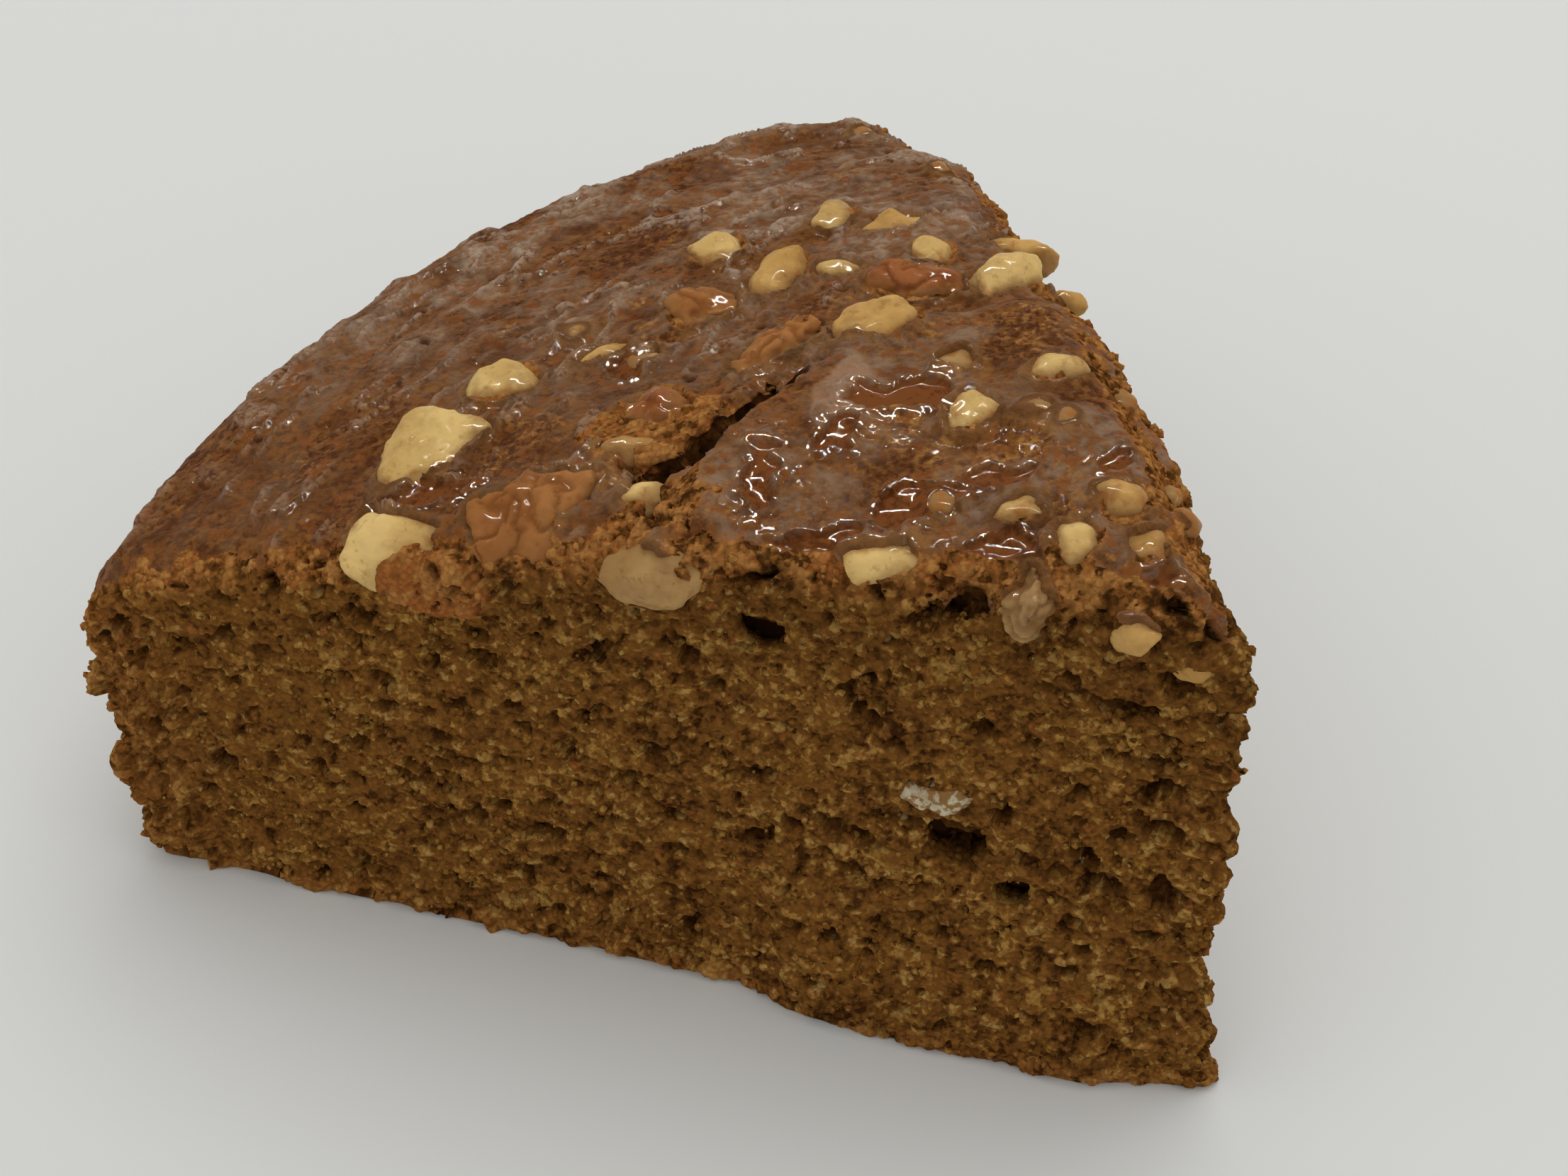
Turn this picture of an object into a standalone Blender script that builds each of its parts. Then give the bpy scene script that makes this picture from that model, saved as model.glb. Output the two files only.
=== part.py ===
"""A slice of coffee and walnut cake, one sixth of a round sponge with a domed, glazed top.

Metres, +Z up. The front cut face runs along X and looks along -Y, with the slice's tip at the +X end and the
rim of the cake at the -X end. The origin is at the middle of the underside of the slice's bounding box.

Inside the script a piece is placed from the slice's tip: "along" is the distance from the tip along the front
cut face, "inward" is the distance from that face into the slice, and both are in millimetres.
"""

import math
import random

import bmesh
import bpy
from mathutils import Euler, Vector, noise

MM = 0.001

# ---- The sponge ----

CAKE_RADIUS = 0.100
SLICE_ANGLE = math.radians(60)
CENTRE_HEIGHT = 0.0565
DOME_FALL = 0.0180  # how much lower the crust is where the shoulder starts than at the tip
SHOULDER_WIDTH = 0.010
SHOULDER_DROP = 0.0078
SIDE_HEIGHT = CENTRE_HEIGHT - DOME_FALL - SHOULDER_DROP
BASE_RADIUS = 0.0984
BASE_ROUNDING = 0.0014
TIP_WIDTH = 0.0016  # the blunt edge that the two cuts leave at the tip
TIP_SPREAD = 0.0012  # crumbs carry that edge this much further out
FOOT_SPREAD = 0.0012
TIP_RAGGED = 0.0011
COLUMNS = 38
ROWS = 13
TURN_STEPS = 30

EDGE_ROLL = 0.0026  # the crust drops by this much at the cut edges
TIP_ROLL = 0.0018  # and by this much more towards the tip
ROLL_WIDTH = 0.0042

SCARP_RADIUS = 0.0485  # the crust split here, and its inner part rose
SCARP_RISE = 0.0016
SCARP_WIDTH = 0.0032
TERRACES = ((0.0150, 0.0007), (0.0082, 0.0009))  # (distance from the front cut, step)
WRINKLE_SPACING = 0.0078
WRINKLE_DEPTH = 0.0006
WRINKLED_FROM = 0.056
LUMP_SIZE = 0.017
LUMP_DEPTH = 0.0008

CUT_LUMP_SIZE = 0.0075
CUT_LUMP_DEPTH = 0.0007
FOOT_START = 0.041  # from here to the tip the foot of the front cut stands proud
FOOT_PROUD = 0.0027
FOOT_HEIGHT = 0.022
BACK_WAVES = (
    (0.027, 0.024, 0.0016),
    (0.074, 0.022, 0.0018),
    (0.100, 0.013, -0.0022),
)  # how the back cut wanders: (distance from the tip, reach, how far out)
BACK_RIM_FALL = 0.0026  # the crust is lower where the back cut meets the rim
SIDE_LUMP_DEPTH = 0.0005

# ---- What is cut out of it: (along, inward, height, length, width, depth, heading), in mm and degrees ----

CRACK = (
    (42.0, 23.2, 53.0, 7.5, 1.6, 5.0, 66),
    (44.6, 18.6, 53.0, 7.5, 2.0, 6.5, 58),
    (47.0, 14.2, 52.8, 7.5, 2.4, 8.0, 62),
    (49.6, 9.8, 52.0, 7.0, 3.0, 9.0, 52),
)
FRONT_HOLES = (
    (38.2, 0.0, 45.2, 3.4, 5.0, 2.4, 0),
    (21.8, 0.0, 52.0, 4.4, 6.0, 3.4, 0),
    (22.0, 0.0, 25.0, 4.2, 5.0, 3.2, 0),
    (16.6, 0.0, 20.4, 3.0, 4.0, 2.0, 0),
    (8.6, 0.0, 21.0, 4.4, 4.0, 2.2, 0),
    (10.5, 0.0, 40.0, 5.0, 4.0, 1.8, 0),
    (78.5, 0.0, 35.0, 3.4, 4.0, 2.2, 0),
    (90.5, 0.0, 29.0, 3.6, 4.0, 2.2, 0),
)
BACK_HOLES = (
    (30.0, 22.0, 3.6),
    (52.0, 34.0, 3.2),
    (68.0, 18.0, 3.8),
    (84.0, 26.0, 3.2),
)  # (distance from the tip, height, size)
TIP_NOTCHES = (
    (-0.4, 0.2, 15.8, 4.4, 7.0, 2.6, 0),
    (-0.6, 0.2, 45.4, 3.4, 6.0, 4.0, 0),
    (-0.8, 0.2, 26.8, 3.0, 6.0, 2.4, 0),
)

# ---- Chopped walnuts ----
# name, along, inward, sink, length, width, height, heading, lean, flat cuts, lobes. Sizes in mm, angles in
# degrees. Sink is how far the piece's middle lies under the crust; lean tips it over about its own length.

WALNUTS = (
    ("walnut_01", 69.2, 3.0, 2.3, 11.6, 6.6, 5.2, 12, 24, 2, 0),
    ("walnut_02", 47.3, 1.8, 3.7, 10.8, 5.8, 6.4, 6, 30, 2, 0),
    ("walnut_03", 58.4, 5.0, 1.4, 11.8, 9.0, 5.8, 24, 10, 1, 3),
    ("walnut_04", 71.0, 12.0, 0.8, 10.8, 9.4, 3.4, 80, 0, 2, 0),
    ("walnut_05", 50.2, 6.6, 0.8, 4.8, 3.6, 3.4, 30, 0, 2, 0),
    ("walnut_06", 68.2, 22.6, 0.5, 6.4, 5.4, 4.2, 20, 0, 2, 0),
    ("walnut_07", 60.4, 27.0, 0.8, 6.2, 2.8, 2.8, 42, 0, 2, 0),
    ("walnut_08", 52.4, 18.4, 0.7, 7.4, 5.2, 4.0, 10, -12, 1, 2),
    ("walnut_09", 52.8, 12.8, 1.0, 5.8, 2.8, 2.8, 16, 0, 2, 0),
    ("walnut_10", 53.8, 34.2, 0.3, 6.8, 6.0, 4.8, 18, 0, 1, 2),
    ("walnut_11", 45.0, 27.2, 0.6, 9.6, 5.0, 4.6, 58, 0, 1, 3),
    ("walnut_12", 37.0, 30.2, 0.7, 7.4, 6.2, 4.2, 24, 0, 2, 0),
    ("walnut_13", 55.8, 44.4, 0.5, 5.4, 5.4, 3.4, 30, 0, 2, 0),
    ("walnut_14", 48.4, 40.0, 0.3, 8.2, 4.6, 4.4, 84, 0, 1, 0),
    ("walnut_15", 43.4, 41.2, 0.5, 4.8, 2.8, 3.0, 14, 0, 2, 0),
    ("walnut_16", 36.2, 38.8, 0.2, 9.2, 4.8, 4.6, -8, 0, 0, 0),
    ("walnut_17", 41.0, 50.8, 0.7, 7.2, 5.6, 3.6, 24, 0, 1, 2),
    ("walnut_18", 35.8, 44.4, 0.4, 5.8, 4.2, 3.4, -30, 0, 3, 0),
    ("walnut_19", 46.8, 51.8, 0.6, 5.6, 3.8, 3.4, 95, 0, 2, 0),
    ("walnut_20", 28.8, 41.0, 0.3, 8.4, 4.8, 4.6, 54, 0, 3, 0),
    ("walnut_21", 29.4, 48.8, 0.4, 8.4, 3.2, 3.6, 2, 0, 2, 0),
    ("walnut_22", 23.8, 42.8, 0.6, 4.6, 2.6, 2.8, 12, 0, 1, 0),
    ("walnut_23", 29.0, 25.4, 1.1, 5.0, 3.4, 2.8, 18, 0, 2, 0),
    ("walnut_24", 20.6, 24.8, 0.4, 6.0, 3.2, 3.2, 22, 0, 2, 0),
    ("walnut_25", 25.6, 18.2, 0.8, 5.4, 4.8, 3.6, 60, 0, 3, 0),
    ("walnut_26", 19.4, 7.6, 0.6, 4.8, 3.8, 3.4, 66, 0, 3, 0),
    ("walnut_27", 12.2, 9.6, 0.3, 4.4, 3.4, 3.6, -12, 0, 2, 0),
    ("walnut_28", 14.6, 5.2, 0.9, 4.6, 4.4, 4.0, 40, 10, 1, 0),
    ("walnut_29", 9.6, 5.8, 1.0, 5.4, 4.6, 3.6, -14, 8, 1, 2),
    ("walnut_30", 28.2, 2.8, 1.2, 8.6, 3.2, 2.8, 24, 15, 1, 0),
    ("walnut_31", 16.8, 1.4, 2.8, 6.2, 4.8, 8.0, 6, 18, 2, 2),
    ("walnut_32", 9.2, 0.8, 1.6, 5.2, 3.0, 3.4, -18, 24, 2, 0),
    ("walnut_33", 4.8, 0.9, 3.6, 4.8, 2.2, 2.8, -14, 10, 1, 0),
    ("walnut_34", 23.4, 0.4, 22.0, 7.8, 2.8, 3.4, 0, 0, 1, 0),
)

# Bits too small to be pieces of their own are part of the crust: (along, inward, size, height)
NUT_BITS = (
    (50.6, 75.6, 3.6, 2.6),
    (40.4, 66.0, 2.8, 2.2),
    (21.3, 19.2, 3.6, 2.2),
    (18.4, 18.4, 3.0, 2.2),
    (25.6, 7.4, 3.2, 2.2),
    (7.6, 10.2, 3.2, 2.8),
    (64.6, 30.6, 3.0, 2.2),
    (56.4, 26.0, 3.4, 1.8),
    (15.0, 24.6, 3.2, 2.2),
    (9.0, 14.2, 2.6, 2.2),
)

POCKET_GAP = 0.0004
NUT_FACES_PER_MM = 7.5  # a longer piece has more faces
LOBED_FACES_PER_MM = 12

SPONGE_COLOUR = (0.105, 0.047, 0.012, 1)
PALE_NUT_COLOUR = (0.42, 0.27, 0.10, 1)
SKINNED_NUT_COLOUR = (0.27, 0.12, 0.043, 1)


def smooth(low, high, value):
    """0 below low, 1 above high, and a soft ramp between them."""
    t = min(1.0, max(0.0, (value - low) / (high - low)))
    return t * t * (3 - 2 * t)


def lumps(point, size, seed):
    """Soft lumps of one size, between about -1 and 1."""
    return noise.noise(Vector(point) / size + Vector((seed, 1.7 * seed, 0.6 * seed)))


# ---- The form of the sponge ----


def crust_height(radius):
    """Height of the baked top over the base, down to the middle of the rounded shoulder."""
    shoulder_start = CAKE_RADIUS - SHOULDER_WIDTH
    height = CENTRE_HEIGHT - DOME_FALL * (radius / shoulder_start) ** 2
    if radius <= shoulder_start:
        return height
    across = (radius - shoulder_start) / SHOULDER_WIDTH
    return SIDE_HEIGHT + SHOULDER_DROP * math.sqrt(max(0.0, 1 - across * across))


def side_radius(height):
    """Radius of the side wall, which leans out a little and then rounds over the shoulder."""
    if height < BASE_ROUNDING:
        return BASE_RADIUS - (BASE_ROUNDING - height)
    if height < SIDE_HEIGHT:
        return BASE_RADIUS + (CAKE_RADIUS - BASE_RADIUS) * height / SIDE_HEIGHT
    up = (height - SIDE_HEIGHT) / SHOULDER_DROP
    return CAKE_RADIUS - SHOULDER_WIDTH * (1 - math.sqrt(max(0.0, 1 - up * up)))


def section_point(across, up):
    """A point of the upright section: across is 0 at the tip and 1 at the rim, up is 0 at the base."""
    middle = math.sqrt(0.5)
    corner_radius = CAKE_RADIUS - SHOULDER_WIDTH * (1 - middle)
    corner = Vector((corner_radius, SIDE_HEIGHT + SHOULDER_DROP * middle))
    base_tip = Vector((TIP_WIDTH, 0))
    base_rim = Vector((side_radius(0), 0))
    top_tip = Vector((TIP_WIDTH, crust_height(TIP_WIDTH)))
    base = base_tip.lerp(base_rim, across)
    top_radius = TIP_WIDTH + (corner.x - TIP_WIDTH) * across
    top = Vector((top_radius, crust_height(top_radius)))
    tip = base_tip.lerp(top_tip, up)
    rim = Vector((side_radius(corner.y * up), corner.y * up))
    corners = base_tip.lerp(base_rim, across).lerp(top_tip.lerp(corner, across), up)
    return base.lerp(top, up) + tip.lerp(rim, across) - corners


def from_cuts(x, y):
    """Distances of a point from the front and the back cut."""
    return y, -x * math.sin(SLICE_ANGLE) - y * math.cos(SLICE_ANGLE)


def crust_change(x, y):
    """How far the crust stands over or under the plain dome."""
    radius = math.hypot(x, y)
    angle = math.atan2(y, -x)
    front, back = from_cuts(x, y)
    split = SCARP_RADIUS + 0.0025 * lumps((x, y, 0), 0.012, 3.1) - 0.004 * smooth(0.7, 1.05, angle)
    change = SCARP_RISE * (1 - smooth(split - SCARP_WIDTH / 2, split + SCARP_WIDTH / 2, radius))
    for distance, step in TERRACES:
        line = distance + 0.0015 * lumps((x, y, 0), 0.014, 5.3)
        change -= step * (1 - smooth(line - 0.001, line + 0.001, front)) * smooth(0.045, 0.038, radius)
    waves = math.sin((radius + 0.0035 * lumps((x, y, 0), 0.016, 7.7)) / WRINKLE_SPACING * math.tau)
    outer = smooth(WRINKLED_FROM, WRINKLED_FROM + 0.012, radius)
    change += WRINKLE_DEPTH * waves * outer * (0.6 + 0.4 * lumps((x, y, 0), 0.02, 9.1))
    change += LUMP_DEPTH * lumps((x, y, 0), LUMP_SIZE, 11.3)
    change -= BACK_RIM_FALL * smooth(0.90, 1.05, angle) * smooth(0.080, 0.096, radius)
    roll = EDGE_ROLL + TIP_ROLL * smooth(0.042, 0.022, radius)
    for distance in (front, back):
        near = 1 - min(1.0, max(0.0, distance) / ROLL_WIDTH)
        change -= roll * near * near
    return change


def cut_change(x, z, seed):
    """How far a torn cut face stands proud of its plane."""
    coarse = lumps((x, seed, z), CUT_LUMP_SIZE, seed)
    fine = lumps((x, seed, z), CUT_LUMP_SIZE / 2, seed + 4)
    return CUT_LUMP_DEPTH * (0.8 * coarse + 0.5 * fine)


def front_change(x, z):
    """The front cut, with the foot that stands proud on the tip's side."""
    foot = smooth(-FOOT_START, -FOOT_START + 0.006, x) * smooth(FOOT_HEIGHT, 0.004, z)
    return cut_change(x, z, 2.3) + FOOT_PROUD * foot


def back_change(radius, z):
    """The back cut, which wanders a little and is drawn in at the cake's rim."""
    change = cut_change(radius, z, 6.1)
    for distance, reach, outward in BACK_WAVES:
        change += outward * smooth(reach, 0, abs(radius - distance))
    return change


def tip_change(z):
    """The ragged upright edge at the tip, which spreads at its foot."""
    return TIP_SPREAD + FOOT_SPREAD * smooth(0.004, 0.0, z) + TIP_RAGGED * lumps((0, 0, z), 0.007, 13.0)


def shape_vertex(position):
    """Moves a point of the plain wedge to its place on the real slice."""
    x, y, z = position
    radius = math.hypot(x, y)
    front, back = from_cuts(x, y)
    on_front = abs(front) < 1e-5
    on_back = abs(back) < 1e-5
    on_side = radius > side_radius(z) - 1e-5
    z *= 1 + crust_change(x, y) / crust_height(min(radius, CAKE_RADIUS - SHOULDER_WIDTH))
    fade = smooth(0.001, 0.010, radius)
    shaped = Vector((x, y, z))
    if on_front:
        shaped.y -= front_change(x, z) * fade
    if on_back:
        outward = Vector((math.sin(SLICE_ANGLE), math.cos(SLICE_ANGLE), 0))
        shaped += outward * back_change(radius, z) * fade
    if on_side:
        shaped += Vector((x, y, 0)).normalized() * SIDE_LUMP_DEPTH * lumps((x, y, z), 0.009, 15.0)
    shaped.x += tip_change(z) * smooth(0.008, TIP_WIDTH, radius)
    return shaped


# ---- Blender helpers ----


def new_collection(name):
    collection = bpy.data.collections.new(name)
    bpy.context.scene.collection.children.link(collection)
    return collection


def new_object(name, bm, collection, parent=None):
    """Turns a bmesh into a named object in a collection."""
    mesh = bpy.data.meshes.new(name)
    bm.to_mesh(mesh)
    bm.free()
    made = bpy.data.objects.new(name, mesh)
    made.parent = parent
    collection.objects.link(made)
    return made


def new_material(name, colour, roughness):
    material = bpy.data.materials.new(name)
    material.use_nodes = True
    shader = material.node_tree.nodes["Principled BSDF"]
    shader.inputs["Base Color"].default_value = colour
    shader.inputs["Roughness"].default_value = roughness
    shader.inputs["Metallic"].default_value = 0.0
    return material


def apply_modifiers(made):
    """Gives an object its evaluated mesh and leaves it with no modifiers."""
    evaluated = made.evaluated_get(bpy.context.evaluated_depsgraph_get())
    mesh = bpy.data.meshes.new_from_object(evaluated)
    made.modifiers.clear()
    made.data = mesh


def combine(made, operand, operation):
    """Joins or cuts an object with every object of a collection, then removes them."""
    boolean = made.modifiers.new(operation, "BOOLEAN")
    boolean.operation = operation
    boolean.operand_type = "COLLECTION"
    boolean.collection = operand
    boolean.solver = "EXACT"
    bpy.context.view_layer.update()
    apply_modifiers(made)
    for cutter in list(operand.objects):
        bpy.data.objects.remove(cutter)


def hide_helper(helper):
    helper.hide_render = True
    helper.display_type = "WIRE"


# ---- The pieces ----


def make_sponge(collection, parent):
    """The wedge: its upright section is turned through the slice's angle and then shaped."""
    bm = bmesh.new()
    bmesh.ops.create_grid(bm, x_segments=COLUMNS, y_segments=ROWS, size=0.5)
    for vertex in bm.verts:
        point = section_point(vertex.co.x + 0.5, vertex.co.y + 0.5)
        vertex.co = Vector((-point.x, 0, point.y))
    section = list(bm.verts) + list(bm.edges) + list(bm.faces)
    bmesh.ops.spin(bm, geom=section, axis=(0, 0, 1), angle=-SLICE_ANGLE, steps=TURN_STEPS)
    for vertex in bm.verts:
        vertex.co = shape_vertex(vertex.co)
    base = [face for face in bm.faces if all(vertex.co.z < 1e-6 for vertex in face.verts)]
    bmesh.ops.dissolve_faces(bm, faces=base, use_verts=True)
    bmesh.ops.recalc_face_normals(bm, faces=bm.faces)
    return new_object("sponge", bm, collection, parent)


def crust_point(along, inward):
    """Where a piece's place, in mm from the tip, lies on the shaped crust."""
    x = -along * MM
    y = inward * MM
    radius = math.hypot(x, y)
    return Vector((x, y, crust_height(radius) + crust_change(x, y)))


def knife_cuts(count, draw):
    """The flat faces of a chopped piece: (outward direction, distance from its middle)."""
    for _ in range(count):
        turn = draw.uniform(0, math.tau)
        outward = Vector((math.cos(turn), math.sin(turn), draw.uniform(-0.35, 0.35))).normalized()
        yield outward, draw.uniform(0.45, 0.7)


def nut_form(size, cuts, lobes, seed):
    """A chopped kernel: a rounded body with lobes, sliced flat where the knife went through."""
    bm = bmesh.new()
    bmesh.ops.create_icosphere(bm, subdivisions=3, radius=1.0)
    planes = list(knife_cuts(cuts, random.Random(seed)))
    for vertex in bm.verts:
        place = vertex.co
        swell = 1 + 0.14 * lumps(place, 1.1, seed)
        if lobes:
            swell += 0.13 * math.cos(lobes * math.pi * place.x) - 0.10 * math.exp(-((place.y / 0.22) ** 2))
        place = place * swell
        for normal, distance in planes:
            over = place.dot(normal) - distance
            if over > 0:
                place = place - normal * over
        vertex.co = place
    low = [min(vertex.co[axis] for vertex in bm.verts) for axis in range(3)]
    high = [max(vertex.co[axis] for vertex in bm.verts) for axis in range(3)]
    for vertex in bm.verts:
        vertex.co = Vector(
            (vertex.co[axis] - (low[axis] + high[axis]) / 2) / (high[axis] - low[axis]) * size[axis] * MM
            for axis in range(3)
        )
    return bm


def make_walnut(entry, collection, parent):
    """One chopped piece, set into the crust."""
    name, along, inward, sink, length, width, height, heading, lean, cuts, lobes = entry
    seed = 20 + int(name.split("_")[1])
    nut = new_object(name, nut_form((length, width, height), cuts, lobes, seed), collection, parent)
    faces_per_mm = LOBED_FACES_PER_MM if lobes == 3 else NUT_FACES_PER_MM
    thin = nut.modifiers.new("fewer faces", "DECIMATE")
    thin.ratio = faces_per_mm * length / len(nut.data.polygons)
    bpy.context.view_layer.update()
    apply_modifiers(nut)
    nut.location = crust_point(along, inward) - Vector((0, 0, sink * MM))
    slope = math.degrees(math.atan(2 * DOME_FALL * along * MM / (CAKE_RADIUS - SHOULDER_WIDTH) ** 2))
    nut.rotation_euler = Euler((math.radians(lean), math.radians(-slope * 0.8), math.radians(heading)))
    return nut


def make_pocket(nut, cutters):
    """The room a piece takes in the sponge, a little larger than the piece."""
    bm = bmesh.new()
    bm.from_mesh(nut.data)
    bm.normal_update()
    for vertex in bm.verts:
        vertex.co += vertex.normal * POCKET_GAP
    pocket = new_object(nut.name + "_pocket", bm, cutters, nut.parent)
    pocket.location = nut.location
    pocket.rotation_euler = nut.rotation_euler
    hide_helper(pocket)


def make_lens(name, centre, size, heading, collection, parent):
    """A rounded blob, used both as a bit of nut and as what a hole takes away. Sizes in mm."""
    bm = bmesh.new()
    bmesh.ops.create_icosphere(bm, subdivisions=1, radius=1.0)
    for vertex in bm.verts:
        vertex.co = Vector(vertex.co[axis] * size[axis] / 2 * MM for axis in range(3))
    lens = new_object(name, bm, collection, parent)
    lens.location = centre
    lens.rotation_euler = Euler((0, 0, math.radians(heading)))
    hide_helper(lens)


def make_bits(collection, parent):
    for number, (along, inward, size, height) in enumerate(NUT_BITS):
        centre = crust_point(along, inward) - Vector((0, 0, 0.2 * height * MM))
        make_lens(f"bit_{number}", centre, (size, size * 0.8, height), 37 * number, collection, parent)


def make_holes(collection, parent):
    """The crack in the crust, the holes that show in the cuts, and the notches at the tip."""
    for number, entry in enumerate(CRACK + FRONT_HOLES + TIP_NOTCHES):
        along, inward, height, *size, heading = entry
        centre = Vector((-along, inward, height)) * MM
        make_lens(f"hole_{number}", centre, size, heading, collection, parent)
    for number, (distance, height, size) in enumerate(BACK_HOLES):
        outward = Vector((-math.cos(SLICE_ANGLE), math.sin(SLICE_ANGLE), 0))
        centre = outward * distance * MM + Vector((0, 0, height * MM))
        make_lens(f"back_hole_{number}", centre, (size, size, size * 0.7), -60, collection, parent)


def centre_on_origin(sponge, tip):
    """Stands the slice with the middle of its bounding box's underside on the origin."""
    xs = [vertex.co.x for vertex in sponge.data.vertices]
    ys = [vertex.co.y for vertex in sponge.data.vertices]
    tip.location = Vector((-(min(xs) + max(xs)) / 2, -(min(ys) + max(ys)) / 2, 0))


def build():
    for leftover in list(bpy.data.objects):
        bpy.data.objects.remove(leftover)
    slice_pieces = new_collection("coffee_walnut_cake")
    cutters = new_collection("cutters")
    bits = new_collection("bits")
    tip = bpy.data.objects.new("slice_tip", None)
    slice_pieces.objects.link(tip)
    sponge = make_sponge(slice_pieces, tip)
    nuts = [make_walnut(entry, slice_pieces, tip) for entry in WALNUTS]
    make_bits(bits, tip)
    bpy.context.view_layer.update()
    combine(sponge, bits, "UNION")
    for nut in nuts:
        make_pocket(nut, cutters)
    make_holes(cutters, tip)
    bpy.context.view_layer.update()
    combine(sponge, cutters, "DIFFERENCE")
    centre_on_origin(sponge, tip)
    sponge.data.materials.clear()
    sponge.data.materials.append(new_material("sponge", SPONGE_COLOUR, 0.75))
    pale = new_material("pale walnut", PALE_NUT_COLOUR, 0.45)
    skinned = new_material("skinned walnut", SKINNED_NUT_COLOUR, 0.4)
    for nut, entry in zip(nuts, WALNUTS):
        nut.data.materials.append(skinned if entry[-1] else pale)


build()
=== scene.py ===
"""A slice of coffee and walnut cake: torn cut faces, a glazed crust, walnuts and loose crumbs."""

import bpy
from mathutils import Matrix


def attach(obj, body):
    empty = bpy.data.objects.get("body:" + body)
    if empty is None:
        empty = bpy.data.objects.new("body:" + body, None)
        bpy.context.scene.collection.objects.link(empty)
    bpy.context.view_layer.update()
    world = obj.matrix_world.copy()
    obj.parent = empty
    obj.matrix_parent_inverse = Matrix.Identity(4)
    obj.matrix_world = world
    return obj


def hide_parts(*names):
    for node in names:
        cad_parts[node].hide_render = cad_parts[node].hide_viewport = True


bl_info = {
    "name": "Coffee Walnut Cake Slice",
    "version": (1, 0, 0),
    "blender": (4, 5, 0),
    "location": "3D View > Sidebar > Cake",
    "description": "Finishes a slice of coffee and walnut cake and lights it on a pale table",
    "category": "Object",
}

import math
import random

import bmesh
import bpy
import numpy as np
from bpy.props import FloatProperty, FloatVectorProperty, IntProperty, PointerProperty
from mathutils import Euler, Matrix, Vector
from mathutils.bvhtree import BVHTree

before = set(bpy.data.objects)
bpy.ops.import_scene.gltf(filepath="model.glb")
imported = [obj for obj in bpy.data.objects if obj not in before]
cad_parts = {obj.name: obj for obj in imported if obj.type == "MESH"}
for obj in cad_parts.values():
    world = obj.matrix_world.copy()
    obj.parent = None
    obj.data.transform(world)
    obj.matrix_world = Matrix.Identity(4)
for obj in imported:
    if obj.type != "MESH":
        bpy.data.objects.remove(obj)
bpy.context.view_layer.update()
BODY = "root"
MM = 0.001

# ---- The slice, in metres: its tip, its two cuts and the dome of its crust ----

TIP = Vector((0.0492, -0.0413, 0.0))
SLICE_ANGLE = math.radians(60)
CAKE_RADIUS = 0.1
CENTRE_HEIGHT = 0.0565
DOME_FALL = 0.018
SHOULDER_WIDTH = 0.01
SHOULDER_DROP = 0.0078
SHOULDER_START = CAKE_RADIUS - SHOULDER_WIDTH
FRONT_OUT = Vector((0.0, -1.0, 0.0))
BACK_OUT = Vector((math.sin(SLICE_ANGLE), math.cos(SLICE_ANGLE), 0.0))
MIDDLE_LINE = Vector((-math.cos(SLICE_ANGLE / 2), math.sin(SLICE_ANGLE / 2), 0.0))
CORE = Vector((-0.012, -0.008, 0.02))  # deep inside, where the backs of the sponge's patches meet
WALNUT_NAMES = sorted(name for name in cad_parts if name.startswith("walnut_"))

# Pools of clear glaze in the crust: (along, inward, half length, half width, heading), in mm and degrees
POOLS = (
    (31.8, 20.0, 4.6, 2.3, -25),
    (36.3, 14.2, 2.0, 1.7, 0),
    (40.8, 8.0, 4.0, 1.3, 76),
    (27.8, 7.2, 3.2, 2.6, -20),
    (34.8, 2.9, 3.8, 1.3, -8),
    (22.6, 10.7, 3.0, 1.7, -20),
    (13.4, 13.2, 1.6, 1.4, 0),
    (20.4, 3.4, 3.2, 1.1, -10),
    (7.7, 2.7, 2.2, 0.8, -16),
    (69.0, 6.6, 3.9, 1.5, -14),
    (57.4, 24.6, 1.8, 1.2, 30),
)

# Holes in the front cut, cut deep and painted dark for shade: (along, height, half length, half height), in
# mm
HOLES = (
    (22.0, 25.2, 2.6, 2.7),
    (38.4, 45.2, 2.0, 1.5),
    (29.5, 42.0, 1.0, 0.6),
    (27.6, 35.3, 0.9, 0.9),
    (38.8, 28.6, 1.3, 0.9),
    (25.6, 26.6, 1.8, 0.7),
    (11.8, 27.2, 1.0, 0.8),
    (17.1, 19.8, 1.5, 1.2),
    (16.1, 24.4, 0.9, 0.6),
    (9.8, 23.2, 2.3, 1.4),
    (4.4, 24.0, 2.1, 1.3),
    (5.3, 31.6, 1.8, 1.1),
    (4.8, 36.2, 1.8, 1.1),
    (8.7, 44.6, 3.4, 0.8),
    (5.1, 48.4, 2.2, 0.8),
    (24.0, 50.6, 1.8, 1.1),
    (32.2, 11.4, 1.1, 0.7),
    (30.2, 23.0, 1.0, 0.6),
    (11.5, 13.3, 1.2, 0.7),
    (9.7, 7.5, 1.7, 1.0),
    (67.3, 18.5, 1.0, 0.5),
    (79.7, 21.0, 0.9, 0.6),
)

# Bits of nut that are part of the crust: (along, inward, size, height), in mm
NUT_BITS = (
    (50.6, 75.6, 3.6, 2.6),
    (40.4, 66.0, 2.8, 2.2),
    (21.3, 19.2, 3.6, 2.2),
    (18.4, 18.4, 3.0, 2.2),
    (25.6, 7.4, 3.2, 2.2),
    (7.6, 10.2, 3.2, 2.8),
    (64.6, 30.6, 3.0, 2.2),
    (56.4, 26.0, 3.4, 1.8),
    (15.0, 24.6, 3.2, 2.2),
    (9.0, 14.2, 2.6, 2.2),
)


# ---- Node trees ----


def pick(sockets, name):
    """The socket in use that has this name or number."""
    if isinstance(name, int):
        return sockets[name]
    return next(socket for socket in sockets if socket.name == name and socket.enabled)


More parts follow.
